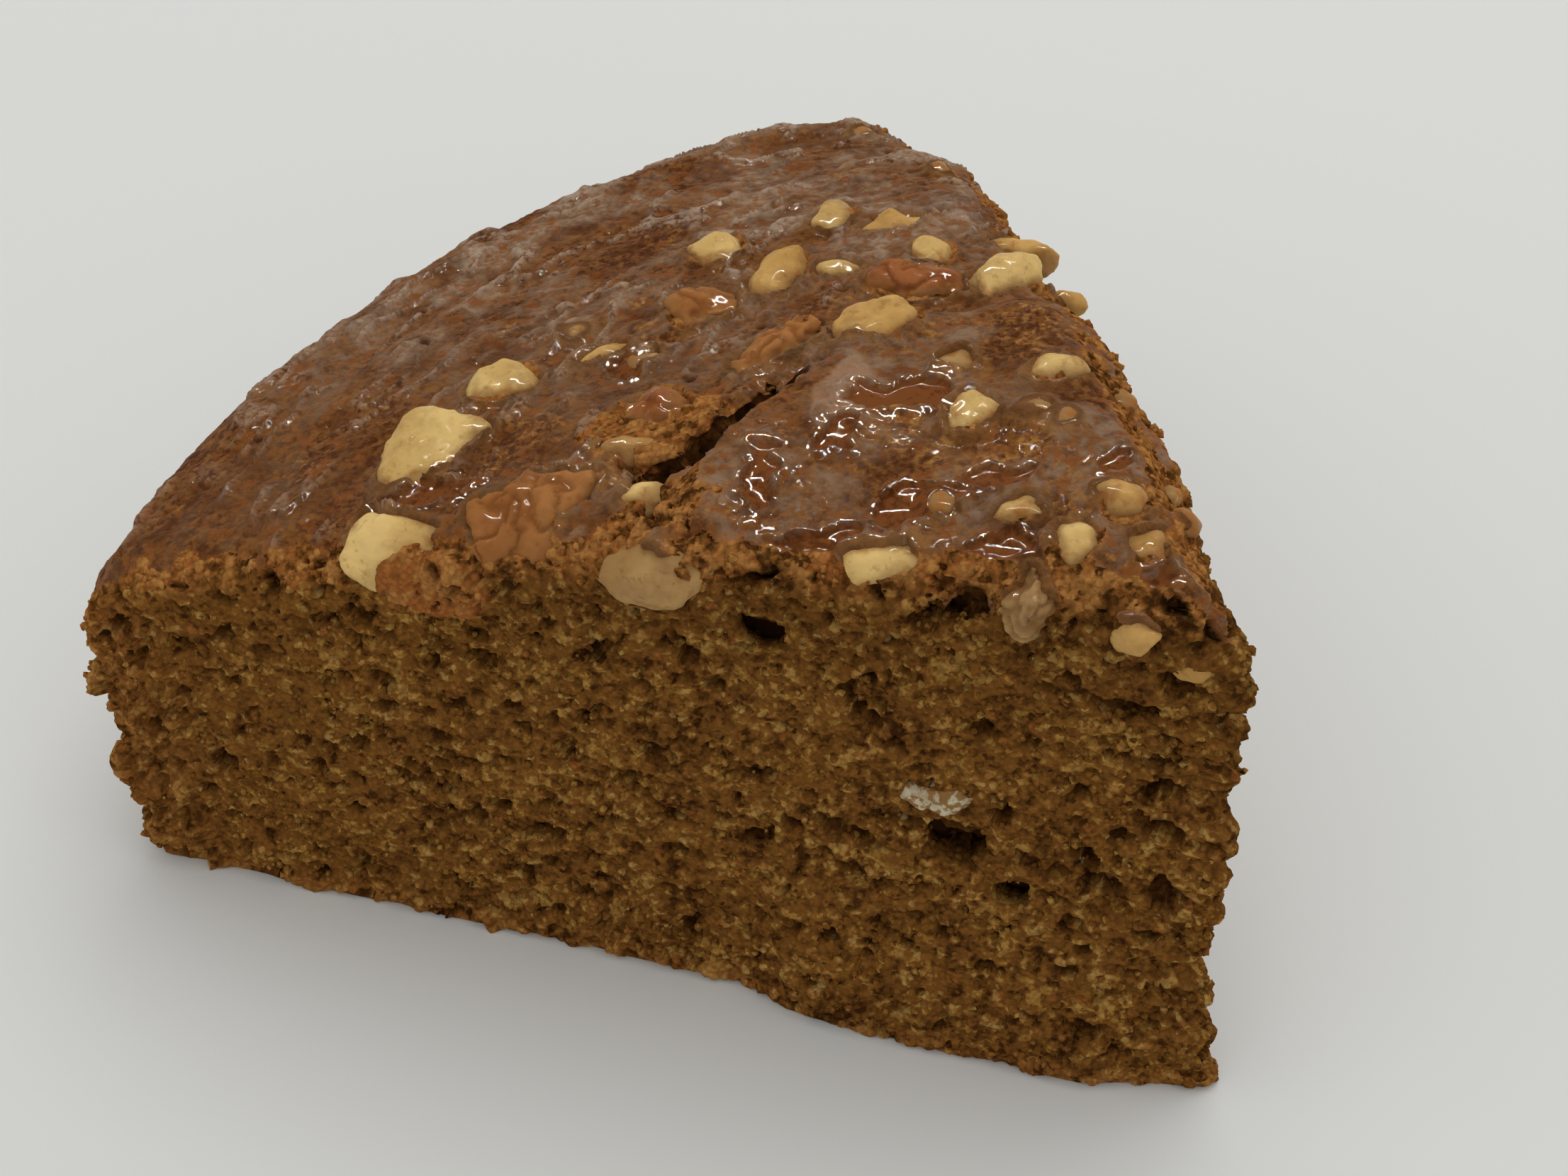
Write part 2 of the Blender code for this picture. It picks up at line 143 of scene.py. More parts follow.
class Field:
    """A value in a node tree. It takes + - * / like a number, and its methods add nodes that read it."""

    def __init__(self, wiring, socket):
        self.wiring = wiring
        self.socket = socket

    def math(self, operation, other=0.0):
        return self.wiring.field("ShaderNodeMath", {0: self, 1: other}, operation=operation)

    def __add__(self, other):
        return self.math("ADD", other)

    def __sub__(self, other):
        return self.math("SUBTRACT", other)

    def __rsub__(self, other):
        return self.wiring.field("ShaderNodeMath", {0: other, 1: self}, operation="SUBTRACT")

    def __mul__(self, other):
        return self.math("MULTIPLY", other)

    def __truediv__(self, other):
        return self.math("DIVIDE", other)

    def __abs__(self):
        return self.math("ABSOLUTE")

    __radd__ = __add__
    __rmul__ = __mul__

    def biggest(self, other):
        return self.math("MAXIMUM", other)

    def smallest(self, other):
        return self.math("MINIMUM", other)

    def vector(self, operation, other=(0.0, 0.0, 0.0), out="Vector"):
        return self.wiring.field("ShaderNodeVectorMath", {0: self, 1: other}, out, operation=operation)

    def dot(self, direction):
        return self.vector("DOT_PRODUCT", direction, "Value")

    def scaled(self, factor):
        """This vector times a number."""
        return self.wiring.field("ShaderNodeVectorMath", {0: self, "Scale": factor}, operation="SCALE")

    def along(self, direction):
        """A fixed vector times this number."""
        return self.wiring.field("ShaderNodeVectorMath", {0: direction, "Scale": self}, operation="SCALE")

    def parts(self):
        made = self.wiring.node("ShaderNodeSeparateXYZ", {0: self})
        return [Field(self.wiring, socket) for socket in made.outputs]

    def ramp(self, low, high, start=0.0, end=1.0, kind="SMOOTHSTEP"):
        """start where the value is low, end where it is high, and a soft change between them."""
        inputs = {"Value": self, "From Min": low, "From Max": high, "To Min": start, "To Max": end}
        return self.wiring.field("ShaderNodeMapRange", inputs, interpolation_type=kind)

    def between(self, first, second):
        """A blend of two colours: the first where the value is 0 and the second where it is 1."""
        inputs = {"Factor": self, "A": first, "B": second}
        return self.wiring.field("ShaderNodeMix", inputs, "Result", data_type="RGBA")

    def noise(self, size, detail=2.0, roughness=0.5, out="Fac"):
        """Cloudy noise at this place, between 0 and 1. Its lumps have about this size in metres."""
        inputs = {"Vector": self, "Scale": 1 / size, "Detail": detail, "Roughness": roughness}
        return self.wiring.field("ShaderNodeTexNoise", inputs, out)

    def cells(self, size, out="Distance"):
        """Cells of about this size in metres: the distance to a cell's middle, or its own random colour."""
        return self.wiring.field("ShaderNodeTexVoronoi", {"Vector": self, "Scale": 1 / size}, out)

    def spots(self, size, share, rim, core):
        """1 in the middle of a share of the cells, and 0 outside them."""
        chosen = self.cells(size, "Color").parts()[1].ramp(share + 0.02, share)
        return self.cells(size).ramp(rim, core) * chosen

    def swirled(self, size, reach):
        """This place, moved about by a noise, so that a pattern on it has no straight edges."""
        about = self.noise(size, 1.0, out="Color").vector("SUBTRACT", (0.5, 0.5, 0.5))
        return self.vector("ADD", about.scaled(reach))


class Wiring:
    """Adds nodes to a tree."""

    def __init__(self, tree):
        self.tree = tree

    def feed(self, socket, value):
        if isinstance(value, Field):
            self.tree.links.new(value.socket, socket)
        else:
            socket.default_value = value

    def node(self, kind, inputs=None, **settings):
        made = self.tree.nodes.new(kind)
        for name, value in settings.items():
            setattr(made, name, value)
        for name, value in (inputs or {}).items():
            self.feed(pick(made.inputs, name), value)
        return made

    def field(self, kind, inputs=None, out=0, **settings):
        """What a new node gives, to be fed to the next one."""
        return Field(self, pick(self.node(kind, inputs, **settings).outputs, out))


def geometry_tree(name, sockets):
    """A new geometry tree with one geometry in and out, and its inputs as fields by name."""
    tree = bpy.data.node_groups.new(name, "GeometryNodeTree")
    tree.interface.new_socket("Geometry", in_out="OUTPUT", socket_type="NodeSocketGeometry")
    tree.interface.new_socket("Geometry", in_out="INPUT", socket_type="NodeSocketGeometry")
    for label, kind in sockets.items():
        tree.interface.new_socket(label, in_out="INPUT", socket_type="NodeSocket" + kind)
    wiring = Wiring(tree)
    group = tree.nodes.new("NodeGroupInput")
    given = {socket.name: Field(wiring, socket) for socket in group.outputs if socket.name}
    return wiring, given


def finish_tree(wiring, geometry, material):
    """Ends a geometry tree: its instances are made real and take their material."""
    real = wiring.field("GeometryNodeRealizeInstances", {"Geometry": geometry})
    dressed = wiring.field("GeometryNodeSetMaterial", {"Geometry": real, "Material": material})
    wiring.feed(wiring.tree.nodes.new("NodeGroupOutput").inputs[0], dressed)


def apply_tree(piece, wiring, values):
    """Runs a geometry tree on a piece, with its inputs set by identifier, and keeps the resulting mesh."""
    modifier = piece.modifiers.new(wiring.tree.name, "NODES")
    modifier.node_group = wiring.tree
    for item in wiring.tree.interface.items_tree:
        if item.in_out == "INPUT" and item.name in values:
            modifier[item.identifier] = values[item.name]
    bake(piece)


def bake(piece):
    """Gives a piece its evaluated mesh and leaves it with no modifiers."""
    bpy.context.view_layer.update()
    evaluated = piece.evaluated_get(bpy.context.evaluated_depsgraph_get())
    mesh = bpy.data.meshes.new_from_object(evaluated)
    piece.modifiers.clear()
    old = piece.data
    piece.data = mesh
    bpy.data.meshes.remove(old)


# ---- Meshes ----

WELD = 1e-7


def new_piece(name, mesh):
    piece = bpy.data.objects.new(name, mesh)
    bpy.context.scene.collection.objects.link(piece)
    return piece


def remeshed(name, bm, voxel):
    """A piece made from a bmesh, as even small quads."""
    mesh = bpy.data.meshes.new(name)
    bm.to_mesh(mesh)
    bm.free()
    piece = new_piece(name, mesh)
    remesh = piece.modifiers.new("even quads", "REMESH")
    remesh.mode = "VOXEL"
    remesh.voxel_size = voxel
    bake(piece)
    return piece


def poured(part, whole):
    """Adds one bmesh to another and frees it."""
    mesh = bpy.data.meshes.new("part")
    part.to_mesh(mesh)
    part.free()
    whole.from_mesh(mesh)
    bpy.data.meshes.remove(mesh)


def solid_copy(name, growths, voxel):
    """One piece of even small quads from some nodes, each grown outwards by its own length."""
    whole = bmesh.new()
    for node, growth in growths.items():
        bm = bmesh.new()
        bm.from_mesh(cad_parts[node].data)
        bmesh.ops.remove_doubles(bm, verts=bm.verts, dist=WELD)
        bm.normal_update()
        for vertex in bm.verts:
            vertex.co += vertex.normal * growth
        for face in bm.faces:
            face.material_index = 0
        poured(bm, whole)
    return remeshed(name, whole, voxel)


def array_of(items, field, kind, width=1):
    values = np.empty(len(items) * width, kind)
    items.foreach_get(field, values)
    return values.reshape(-1, width) if width > 1 else values


def softened(wiring, geometry, iterations):
    """The geometry with its facets smoothed away."""
    inputs = {"Value": wiring.field("GeometryNodeInputPosition"), "Iterations": iterations}
    blurred = wiring.field("GeometryNodeBlurAttribute", inputs, "Value", data_type="FLOAT_VECTOR")
    return wiring.field("GeometryNodeSetPosition", {"Geometry": geometry, "Position": blurred})


def stored(wiring, geometry, name, value, domain="POINT"):
    """The geometry with a value kept on it for the material."""
    inputs = {"Geometry": geometry, "Name": name, "Value": value}
    return wiring.field("GeometryNodeStoreNamedAttribute", inputs, data_type="FLOAT", domain=domain)


def named(wiring, name):
    """A value that an earlier tree kept on the geometry."""
    return wiring.field("GeometryNodeInputNamedAttribute", {"Name": name}, "Attribute")


def distance_to(wiring, thing):
    """Distance to the nearest point of another object."""
    info = {"Object": thing}
    surface = wiring.field("GeometryNodeObjectInfo", info, "Geometry", transform_space="ORIGINAL")
    return wiring.field("GeometryNodeProximity", {"Geometry": surface}, "Distance")


# ---- Materials ----


def new_material(name, finish):
    """A material with its Principled shader, whose even values are set, and a wiring to build on."""
    material = bpy.data.materials.new(name)
    material.use_nodes = True
    shader = material.node_tree.nodes["Principled BSDF"]
    for label, value in finish.items():
        shader.inputs[label].default_value = value
    return material, shader, Wiring(material.node_tree)


def attribute(wiring, name):
    """A value that the piece's tree kept on it."""
    return wiring.field("ShaderNodeAttribute", out="Fac", attribute_name=name)


def object_place(wiring):
    return wiring.field("ShaderNodeTexCoord", out="Object")


def layered(colour, *layers):
    """The colour under some layers, each given as its share, from 0 to 1, and its own colour."""
    for share, coat in layers:
        colour = share.between(colour, coat)
    return colour


def bump(wiring, socket, height, depth):
    """Fine relief that the mesh is too coarse for; depth is in metres."""
    inputs = {"Height": height, "Distance": depth, "Strength": 1.0}
    wiring.feed(socket, wiring.field("ShaderNodeBump", inputs, "Normal"))


# ---- Settings ----


def length_property(name, description, default):
    return FloatProperty(
        name=name, description=description, default=default, min=0, unit="LENGTH", precision=5
    )


def colour_property(name, description, default):
    return FloatVectorProperty(
        name=name, description=description, default=(*default, 1.0), size=4, subtype="COLOR", min=0, max=1
    )


def count_property(name, description, default):
    return IntProperty(name=name, description=description, default=default, min=0)


def number_property(name, description, default, unit="NONE"):
    return FloatProperty(name=name, description=description, default=default, min=0, unit=unit)


class SpongeSettings(bpy.types.PropertyGroup):
    voxel: length_property("Fineness", "Edge of the small quads that the sponge is made of", 0.00027)
    softening: count_property("Softening", "How often the facets are smoothed", 14)
    skin: length_property("Glaze on walnuts", "Thickness of the glaze at the foot of a walnut", 0.00032)
    grain_size: length_property("Grain size", "Width of a grain of the crumb", 0.001)
    grain_height: length_property("Grain height", "How far a grain stands proud", 0.0004)
    clump_size: length_property("Clump size", "Width of a clump of crumb", 0.0028)
    clump_height: length_property("Clump height", "How far a clump stands proud", 0.00075)
    pore_size: length_property("Pore size", "Width of a pore of the crumb", 0.0024)
    pore_depth: length_property("Pore depth", "Depth of a pore", 0.0013)
    hole_size: length_property("Hole spacing", "Distance between the larger holes", 0.0052)
    hole_depth: length_property("Hole depth", "Depth of a larger hole", 0.0028)
    ripple_size: length_property("Ripple size", "Width of a ripple in the crust", 0.0026)
    ripple_height: length_property("Ripple height", "Height of a ripple in the crust", 0.00018)
    ridge_height: length_property("Ridge height", "Height of the crust's wrinkles", 0.00055)
    pool_depth: length_property("Pool depth", "How far a pool of glaze lies under its rim", 0.00034)
    fillet: length_property("Fillet", "How far glaze climbs up a walnut", 0.0007)
    crumb: colour_property("Crumb", "Colour of the crumb", (0.228, 0.093, 0.019))
    crumb_gold: colour_property("Golden grains", "Colour of its lighter grains", (0.5, 0.275, 0.062))
    # painted shade: besides the crumb's darkest tone, this colour is painted into its pores, holes, split
    # and the gaps between grains
    crumb_dark_and_shade: colour_property("Pores", "Colour deep in the crumb's pores", (0.046, 0.017, 0.005))
    crumb_pale: colour_property("Flecks", "Colour of the pale flecks in the crumb", (0.56, 0.42, 0.17))
    baked: colour_property("Baked crumb", "Colour of crumb near the crust", (0.38, 0.128, 0.032))
    baked_gold: colour_property("Golden baked crumb", "Colour of its lighter grains", (0.47, 0.205, 0.056))
    # painted shade: besides the crust's darkest tone, this colour is painted into its pores, pinholes and
    # where it meets a walnut
    crust_dark_and_shade: colour_property("Dark crust", "Colour of the crust's pits", (0.085, 0.026, 0.007))
    crust: colour_property("Crust", "Colour of the crust", (0.195, 0.072, 0.018))
    crust_light: colour_property("Light crust", "Colour of its lighter grains", (0.47, 0.22, 0.055))
    film: colour_property("Film", "Colour of the crust's paler film of glaze", (0.15, 0.074, 0.034))
    # painted sheen: the film is painted paler further back and towards the tip, where light glances off it
    film_sheen: colour_property("Pale film", "Colour of that film further back", (0.375, 0.255, 0.166))
    red_crust: colour_property("Red specks", "Colour of the crust's red specks", (0.23, 0.072, 0.017))
    # painted sheen: a pale colour laid on the ridges of the wrinkles in place of their highlights
    ridge_sheen: colour_property("Bloom", "Colour of dried glaze on the wrinkles", (0.45, 0.355, 0.265))
    smear: colour_property("Smear", "Colour of the thick pale glaze beside the split", (0.42, 0.26, 0.16))
    pool: colour_property("Pools", "Colour of the crust under clear glaze", (0.2, 0.064, 0.016))
    milky: colour_property("Milky glaze", "Colour of the glaze round the walnuts", (0.29, 0.145, 0.05))


class WalnutSettings(bpy.types.PropertyGroup):
    voxel: length_property("Fineness", "Edge of the small quads that a walnut is made of", 0.0003)
    softening: count_property("Softening", "How often the facets are smoothed", 3)
    glazing: length_property("Glazing", "Thickness of the glaze on a walnut", 0.00014)
    wrinkle_size: length_property("Wrinkle size", "Distance between the skin's wrinkles", 0.0026)
    wrinkle_depth: length_property("Wrinkle depth", "Depth of the wrinkles of the skin", 0.00034)
    cream: colour_property("Cream flesh", "Colour of freshly cut walnut", (0.64, 0.415, 0.146))
    tan: colour_property("Tan flesh", "Colour of toasted walnut", (0.51, 0.285, 0.086))
    skin: colour_property("Skin", "Colour of walnut skin", (0.325, 0.128, 0.038))
    red_skin: colour_property("Red skin", "Colour of dark walnut skin", (0.29, 0.098, 0.03))
    grey: colour_property("Grey flesh", "Colour of the walnut in the front cut", (0.34, 0.195, 0.078))
    milky: colour_property("Milky flesh", "Colour of walnut under the glaze", (0.385, 0.218, 0.078))
    chalky: colour_property("Chalky flesh", "Colour of the walnut in the crumb", (0.48, 0.4, 0.25))
    dust: colour_property("Dust", "Colour of the baked crumb on a walnut", (0.38, 0.14, 0.032))
    glaze_tint: colour_property("Glaze tint", "Colour of glaze on a walnut", (0.295, 0.146, 0.052))


class CrumbSettings(bpy.types.PropertyGroup):
    density: number_property("Density", "Crumbs on a square metre of torn crumb", 400000.0)
    smallest: length_property("Smallest", "Width of the smallest loose crumb", 0.00032)
    largest: length_property("Largest", "Width of the largest loose crumb", 0.0009)
    seed: count_property("Seed", "Another number scatters the crumbs elsewhere", 4)


class StudioSettings(bpy.types.PropertyGroup):
    camera_place: FloatVectorProperty(
        name="Camera place",
        description="Where the camera stands",
        default=(0.063, -0.2085, 0.2201),
        subtype="TRANSLATION",
        unit="LENGTH",
    )
    camera_turn: FloatVectorProperty(
        name="Camera turn",
        description="Pitch from straight down, roll and turn about the vertical",
        default=tuple(math.radians(angle) for angle in (45.82, -0.76, 16.74)),
        subtype="EULER",
        unit="ROTATION",
    )
    lens: number_property("Lens", "Focal length on a 36 mm sensor", 72.0, "CAMERA")
    floor: colour_property("Floor", "Colour of the table", (0.8, 0.8, 0.77))
    sky: colour_property("Sky", "Colour of the light from all round", (0.88, 0.89, 0.89))
    sky_strength: number_property("Sky strength", "Strength of that light", 0.72)
    window_power: number_property("Window", "Power of the window behind", 0.25, "POWER")
    overhead_power: number_property("Overhead", "Power of the light above", 2.2, "POWER")
    lamp_power: number_property("Lamps", "Power of each small lamp", 0.6, "POWER")


# ---- The sponge ----

PATCHES = (
    "sponge_front",
    "sponge_back",
    "sponge_top",
    "sponge_side",
    "sponge_base",
    "sponge_back_outer",
    "sponge_top_outer",
)
OUTER_HALVES = {1: 5, 2: 6}  # the patches that are split in two, at this distance from the tip
OUTER_RADIUS = 0.062
TORN = "torn crumb"
CRUMB_SLOT, CRUST_SLOT, HIDDEN_SLOT = range(3)  # the places of its materials on a patch
MAP_MARGIN = 0.01
KEPT_VALUES = (
    "crumb", "side", "pit", "tone", "near_nut", "ridge",
    "pool", "shine", "pinhole", "film", "porous", "split",
)
CRACK_ENDS = ((50.2, 8.8), (41.8, 24.0))  # (along, inward) in mm
FLAKE = TIP + Vector((-0.0662, -0.0005, 0.0431))  # the browned crumb that hangs on the first walnut
FLAKE_REACH = Vector((0.0048, 0.0044, 0.003))
SMEAR = TIP + Vector((-0.037, 0.019, 0.0543))  # thick pale glaze beside the split
SMEAR_REACH = Vector((0.0022, 0.005, 0.004))
TORN_SPOTS = (  # where the crust has come away: middle from the tip, and reach, in metres
    (TIP + Vector((-0.0515, 0.0155, 0.0495)), Vector((0.0058, 0.005, 0.006))),
    (TIP + Vector((-0.047, 0.0056, 0.05)), Vector((0.0036, 0.0036, 0.006))),
)
SPONGE_LENGTHS = (
    "grain_height", "clump_height", "pore_depth", "hole_depth",
    "ripple_height", "ridge_height", "pool_depth", "fillet",
)


def slice_distances(place):
    """Distances of a point from the front cut, the back cut and the tip's upright line."""
    x, y, _ = place.vector("SUBTRACT", TIP).parts()
    back = x * -math.sin(SLICE_ANGLE) - y * math.cos(SLICE_ANGLE)
    radius = (x * x + y * y).math("SQRT")
    return y, back, radius


def crust_level(radius):
    """Height of the plain dome of the crust."""
    share = (radius / SHOULDER_START).smallest(1.0)
    over = ((radius - SHOULDER_START) / SHOULDER_WIDTH).biggest(0.0)
    rounded = (1.0 - over * over).biggest(0.0).math("SQRT")
    return CENTRE_HEIGHT - SHOULDER_DROP - share * share * DOME_FALL + rounded * SHOULDER_DROP


def hole_edge(place):
    """Distance outwards from the edge of the nearest hole of the front cut, as a share of its size."""
    x, y, z = place.swirled(0.0016, 0.002).vector("SUBTRACT", TIP).parts()
    nearest = None
    for along, height, half_length, half_height in HOLES:
        u = (x + along * MM) / (half_length * MM)
        v = (z - height * MM) / (half_height * MM)
        edge = u * u + v * v
        nearest = edge if nearest is None else nearest.smallest(edge)
    return nearest + y.ramp(0.004, 0.006, 0.0, 9.0)


def crumb_relief(place, given, settings):
    """How far the torn crumb stands proud of its cut, where shade is painted dark into its pores, holes and
    grain edges, and the tone of each grain.
    """
    bent = place.swirled(0.0014, 0.0008)
    flat = bent.vector("MULTIPLY", (1.0, 1.0, 1.35))
    grains = bent.cells(settings.grain_size)
    tone = bent.cells(settings.grain_size, "Color").parts()[0]
    clumps = flat.noise(settings.clump_size, 3.0, 0.55)
    pores = flat.noise(settings.pore_size, 2.5, 0.6).ramp(0.585, 0.65)
    holes = flat.swirled(0.002, 0.0026).spots(settings.hole_size, 0.4, 0.26, 0.15)
    holes = holes.biggest(hole_edge(place).ramp(1.15, 0.45))
    height = (
        (0.34 - grains * grains) * given["grain_height"] * (0.7 + tone * 1.1)
        + (clumps - 0.5) * 2.0 * given["clump_height"]
        - pores * given["pore_depth"]
        - holes * given["hole_depth"]
    )
    # painted shade: pores, holes and the edges of grains are marked to be painted darker
    pit = (pores * 0.7 + holes * 1.2 + grains.ramp(0.5, 0.9) * 0.4).smallest(1.0)
    return height, pit, tone


def pool_shore(place):
    """Distance outwards from the nearest pool's edge, in metres."""
    bent = place.swirled(0.0036, 0.0048).swirled(0.0012, 0.0014)
    x, y, _ = bent.vector("SUBTRACT", TIP).parts()
    nearest = None
    for along, inward, half_length, half_width, heading in POOLS:
        turn = math.radians(heading)
        across = x + along * MM
        onward = y - inward * MM
        u = (across * -math.cos(turn) + onward * math.sin(turn)) / (half_length * MM)
        v = (across * math.sin(turn) + onward * math.cos(turn)) / (half_width * MM)
        shore = ((u * u + v * v).math("SQRT") - 1.0) * (half_width * MM)
        nearest = shore if nearest is None else nearest.smallest(shore)
    return nearest


def crust_relief(place, radius, given, settings):
    """The crust's own relief, and its ridges, pinholes, pools and film of glaze, each from 0 to 1."""
    x, y, _ = place.vector("SUBTRACT", TIP).parts()
    turn = y.math("ARCTAN2", x * -1.0)
    wander = place.noise(0.011, 1.0) * 0.006
    round_rim = place.wiring.field("ShaderNodeCombineXYZ", {0: radius + wander, 1: turn * 0.03})
    lines = abs(round_rim.noise(0.0042, 2.0, 0.45) - 0.5)
    broken = place.noise(0.008, 2.0).ramp(0.42, 0.56)
    ridge = lines.ramp(0.05, 0.0) * radius.ramp(0.044, 0.06) * broken
    film = round_rim.noise(0.0075, 3.0, 0.6) * 0.6 + place.noise(0.01, 3.0, 0.6) * 0.4
    film = film.ramp(0.42, 0.56)
    ripples = place.noise(settings.ripple_size, 4.0, 0.6) + place.noise(0.0085, 2.0) - 1.0
    porous = place.noise(0.0011, 2.5, 0.6).ramp(0.52, 0.66) * (1.0 - film * 0.8)
    pebbles = place.noise(0.0012, 2.0, 0.6) - 0.5
    pinhole = place.spots(0.005, 0.4, 0.13, 0.07)
    shore = pool_shore(place)
    pool = shore.ramp(0.0001, -0.0002)
    off_shore = abs(shore - 0.0002)
    rim = off_shore.ramp(0.00055, 0.0)
    shine = off_shore.ramp(0.0005, 0.0002)
    rough = ripples * given["ripple_height"] * 2.0 + pebbles * 0.0004
    rough = rough - porous * 0.00022 - pinhole * 0.0007
    rise = rough * (1.0 - pool) + ridge * given["ridge_height"] + (rim - pool) * given["pool_depth"]
    marks = {
        "ridge": ridge,
        "pool": pool,
        "shine": shine,
        "pinhole": pinhole,
        "film": film,
        "porous": porous,
    }
    return rise, marks


def tip_notches(place):
    """How the tip's edge is torn: crumbs are missing at some heights and stand out at others."""
    along = place.vector("SUBTRACT", TIP).dot(MIDDLE_LINE)
    height = place.parts()[2]
    torn = place.vector("MULTIPLY", (0.0, 0.0, 1.0)).noise(0.0042, 3.0, 0.6)
    depth = torn.ramp(0.42, 0.62, -0.0008, 0.0021) * height.ramp(0.051, 0.047)
    return (depth * along.ramp(0.007, 0.0)).along(MIDDLE_LINE)


def crack_distance(place):
    """Distance from the middle of the split in the crust, seen from above."""
    (along, inward), (far_along, far_inward) = CRACK_ENDS
    start = Vector((TIP.x - along * MM, TIP.y + inward * MM, 0.0))
    line = Vector(((along - far_along) * MM, (far_inward - inward) * MM, 0.0))
    flat = place.vector("SUBTRACT", start).vector("MULTIPLY", (1.0, 1.0, 0.0))
    share = flat.dot(line / line.length_squared).biggest(0.0).smallest(1.0)
    return flat.vector("DISTANCE", share.along(line), "Value")


def torn_spot(place, centre, reach, ragged):
    """1 inside a ragged ellipsoid and 0 outside it."""
    away = place.vector("SUBTRACT", centre).vector("DIVIDE", reach)
    return (away.vector("LENGTH", out="Value") + ragged * 0.8).ramp(1.1, 0.9)


def make_relief_tree(settings, material):
    """The sponge's fine surface, laid over its even mesh."""
    sockets = {"walnuts": "Object", "sponge": "Object", "softening": "Int"}
    sockets |= {name: "Float" for name in SPONGE_LENGTHS}
    wiring, given = geometry_tree("Sponge relief", sockets)
    geometry = softened(wiring, given["Geometry"], given["softening"])
    place = wiring.field("GeometryNodeInputPosition")
    normal = wiring.field("GeometryNodeInputNormal")
    front, back, radius = slice_distances(place)
    height = place.parts()[2]
    up = normal.parts()[2]
    facing_cut = normal.dot(FRONT_OUT).biggest(normal.dot(BACK_OUT))
    depth = crust_level(radius) - height

    ragged = place.noise(0.002, 2.5) - 0.5
    frayed = radius.ramp(0.035, 0.075, -0.0022, 0.0014)
    torn = frayed + (place.noise(0.007, 2.0) - 0.5) * 0.008 + ragged * 0.0044
    split_edge = crack_distance(place) + ragged * 0.004
    torn = torn + split_edge.ramp(0.011, 0.003) * 0.005
    near_cut = front.smallest(back + 0.002) - torn
    cut = (facing_cut + ragged * 0.5).ramp(0.46, 0.64)
    split = depth.ramp(0.0012, 0.0024) * split_edge.ramp(0.005, 0.004)
    split = split.biggest(split_edge.ramp(0.0013, 0.0007))
    inside = (depth + ragged * 0.002).ramp(0.0035, 0.0045) * radius.ramp(0.091, 0.088)
    crumb = cut.biggest(split).biggest(near_cut.ramp(0.0004, -0.0004))
    flake = torn_spot(place, FLAKE, FLAKE_REACH, ragged)
    for centre, reach in TORN_SPOTS:
        crumb = crumb.biggest(torn_spot(place, centre, reach, ragged * 2.0))
    crumb = crumb.biggest(inside).biggest(flake)
    side = (depth + ragged * 0.004).ramp(0.0068, 0.0082) * radius.ramp(0.09, 0.093)
    broken = crumb.biggest(side)

    relief, pit, tone = crumb_relief(place, given, settings)
    crust, marks = crust_relief(place, radius, given, settings)
    below_rim = depth.ramp(0.0008, 0.0032)
    thin = radius.ramp(0.002, 0.01, 0.75, 1.0) * height.ramp(0.008, 0.003, 1.0, 1.5)
    thin = thin * (0.62 + below_rim * 0.38).biggest(flake * 1.2)
    above_base = up.ramp(-0.75, -0.45)

    to_nut = distance_to(wiring, given["walnuts"])
    tongues = place.noise(0.0026, 2.0) - 0.5
    off_sponge = distance_to(wiring, given["sponge"]) + tongues * 0.0026
    bare = off_sponge.ramp(0.0004, 0.0008) * to_nut.ramp(0.0016, 0.001) * (1.0 - flake)
    near_nut = to_nut.ramp(given["fillet"] * 2.4, 0.0, kind="LINEAR")
    climb = near_nut * near_nut * given["fillet"] * up.ramp(0.3, 0.8)
    flakes = place.noise(0.004, 2.5).ramp(0.44, 0.58, -0.0003, 0.0013) * side
    flakes = flakes - split_edge.ramp(0.0024, 0.0008) * 0.0013
    rise = (crust + climb) * (1.0 - broken) + relief * broken * thin
    rise = rise + flake * (0.001 + ragged * 0.0016) + flakes
    rise = rise * above_base * (1.0 - bare)
    # painted shade: hollows behind the cut are painted dark too, and the pores less so just under the crust
    hollow = front.smallest(back).ramp(0.0007, 0.002) * cut * depth.ramp(0.002, 0.004)
    pit = (pit * (0.4 + below_rim * 0.6)).biggest(hollow) * broken
    marks |= {"crumb": crumb, "side": side, "pit": pit, "tone": tone, "near_nut": near_nut, "split": split}
    for name in KEPT_VALUES:
        geometry = stored(wiring, geometry, name, marks[name])

    moved = place.vector("ADD", normal.scaled(rise - bare * 0.001))
    moved = moved.vector("ADD", tip_notches(place))
    grounded = moved.vector("MAXIMUM", (-1.0, -1.0, 0.0))
    inputs = {"Geometry": geometry, "Position": grounded}
    finish_tree(wiring, wiring.field("GeometryNodeSetPosition", inputs), material)
    return wiring


CRUMB_FINISH = {"Specular IOR Level": 0.0}
CRUST_FINISH = {
    "Roughness": 0.6,
    "Specular IOR Level": 0.0,
    "Sheen Weight": 0.08,
    "Sheen Roughness": 0.45,
    "Coat Roughness": 0.06,
}


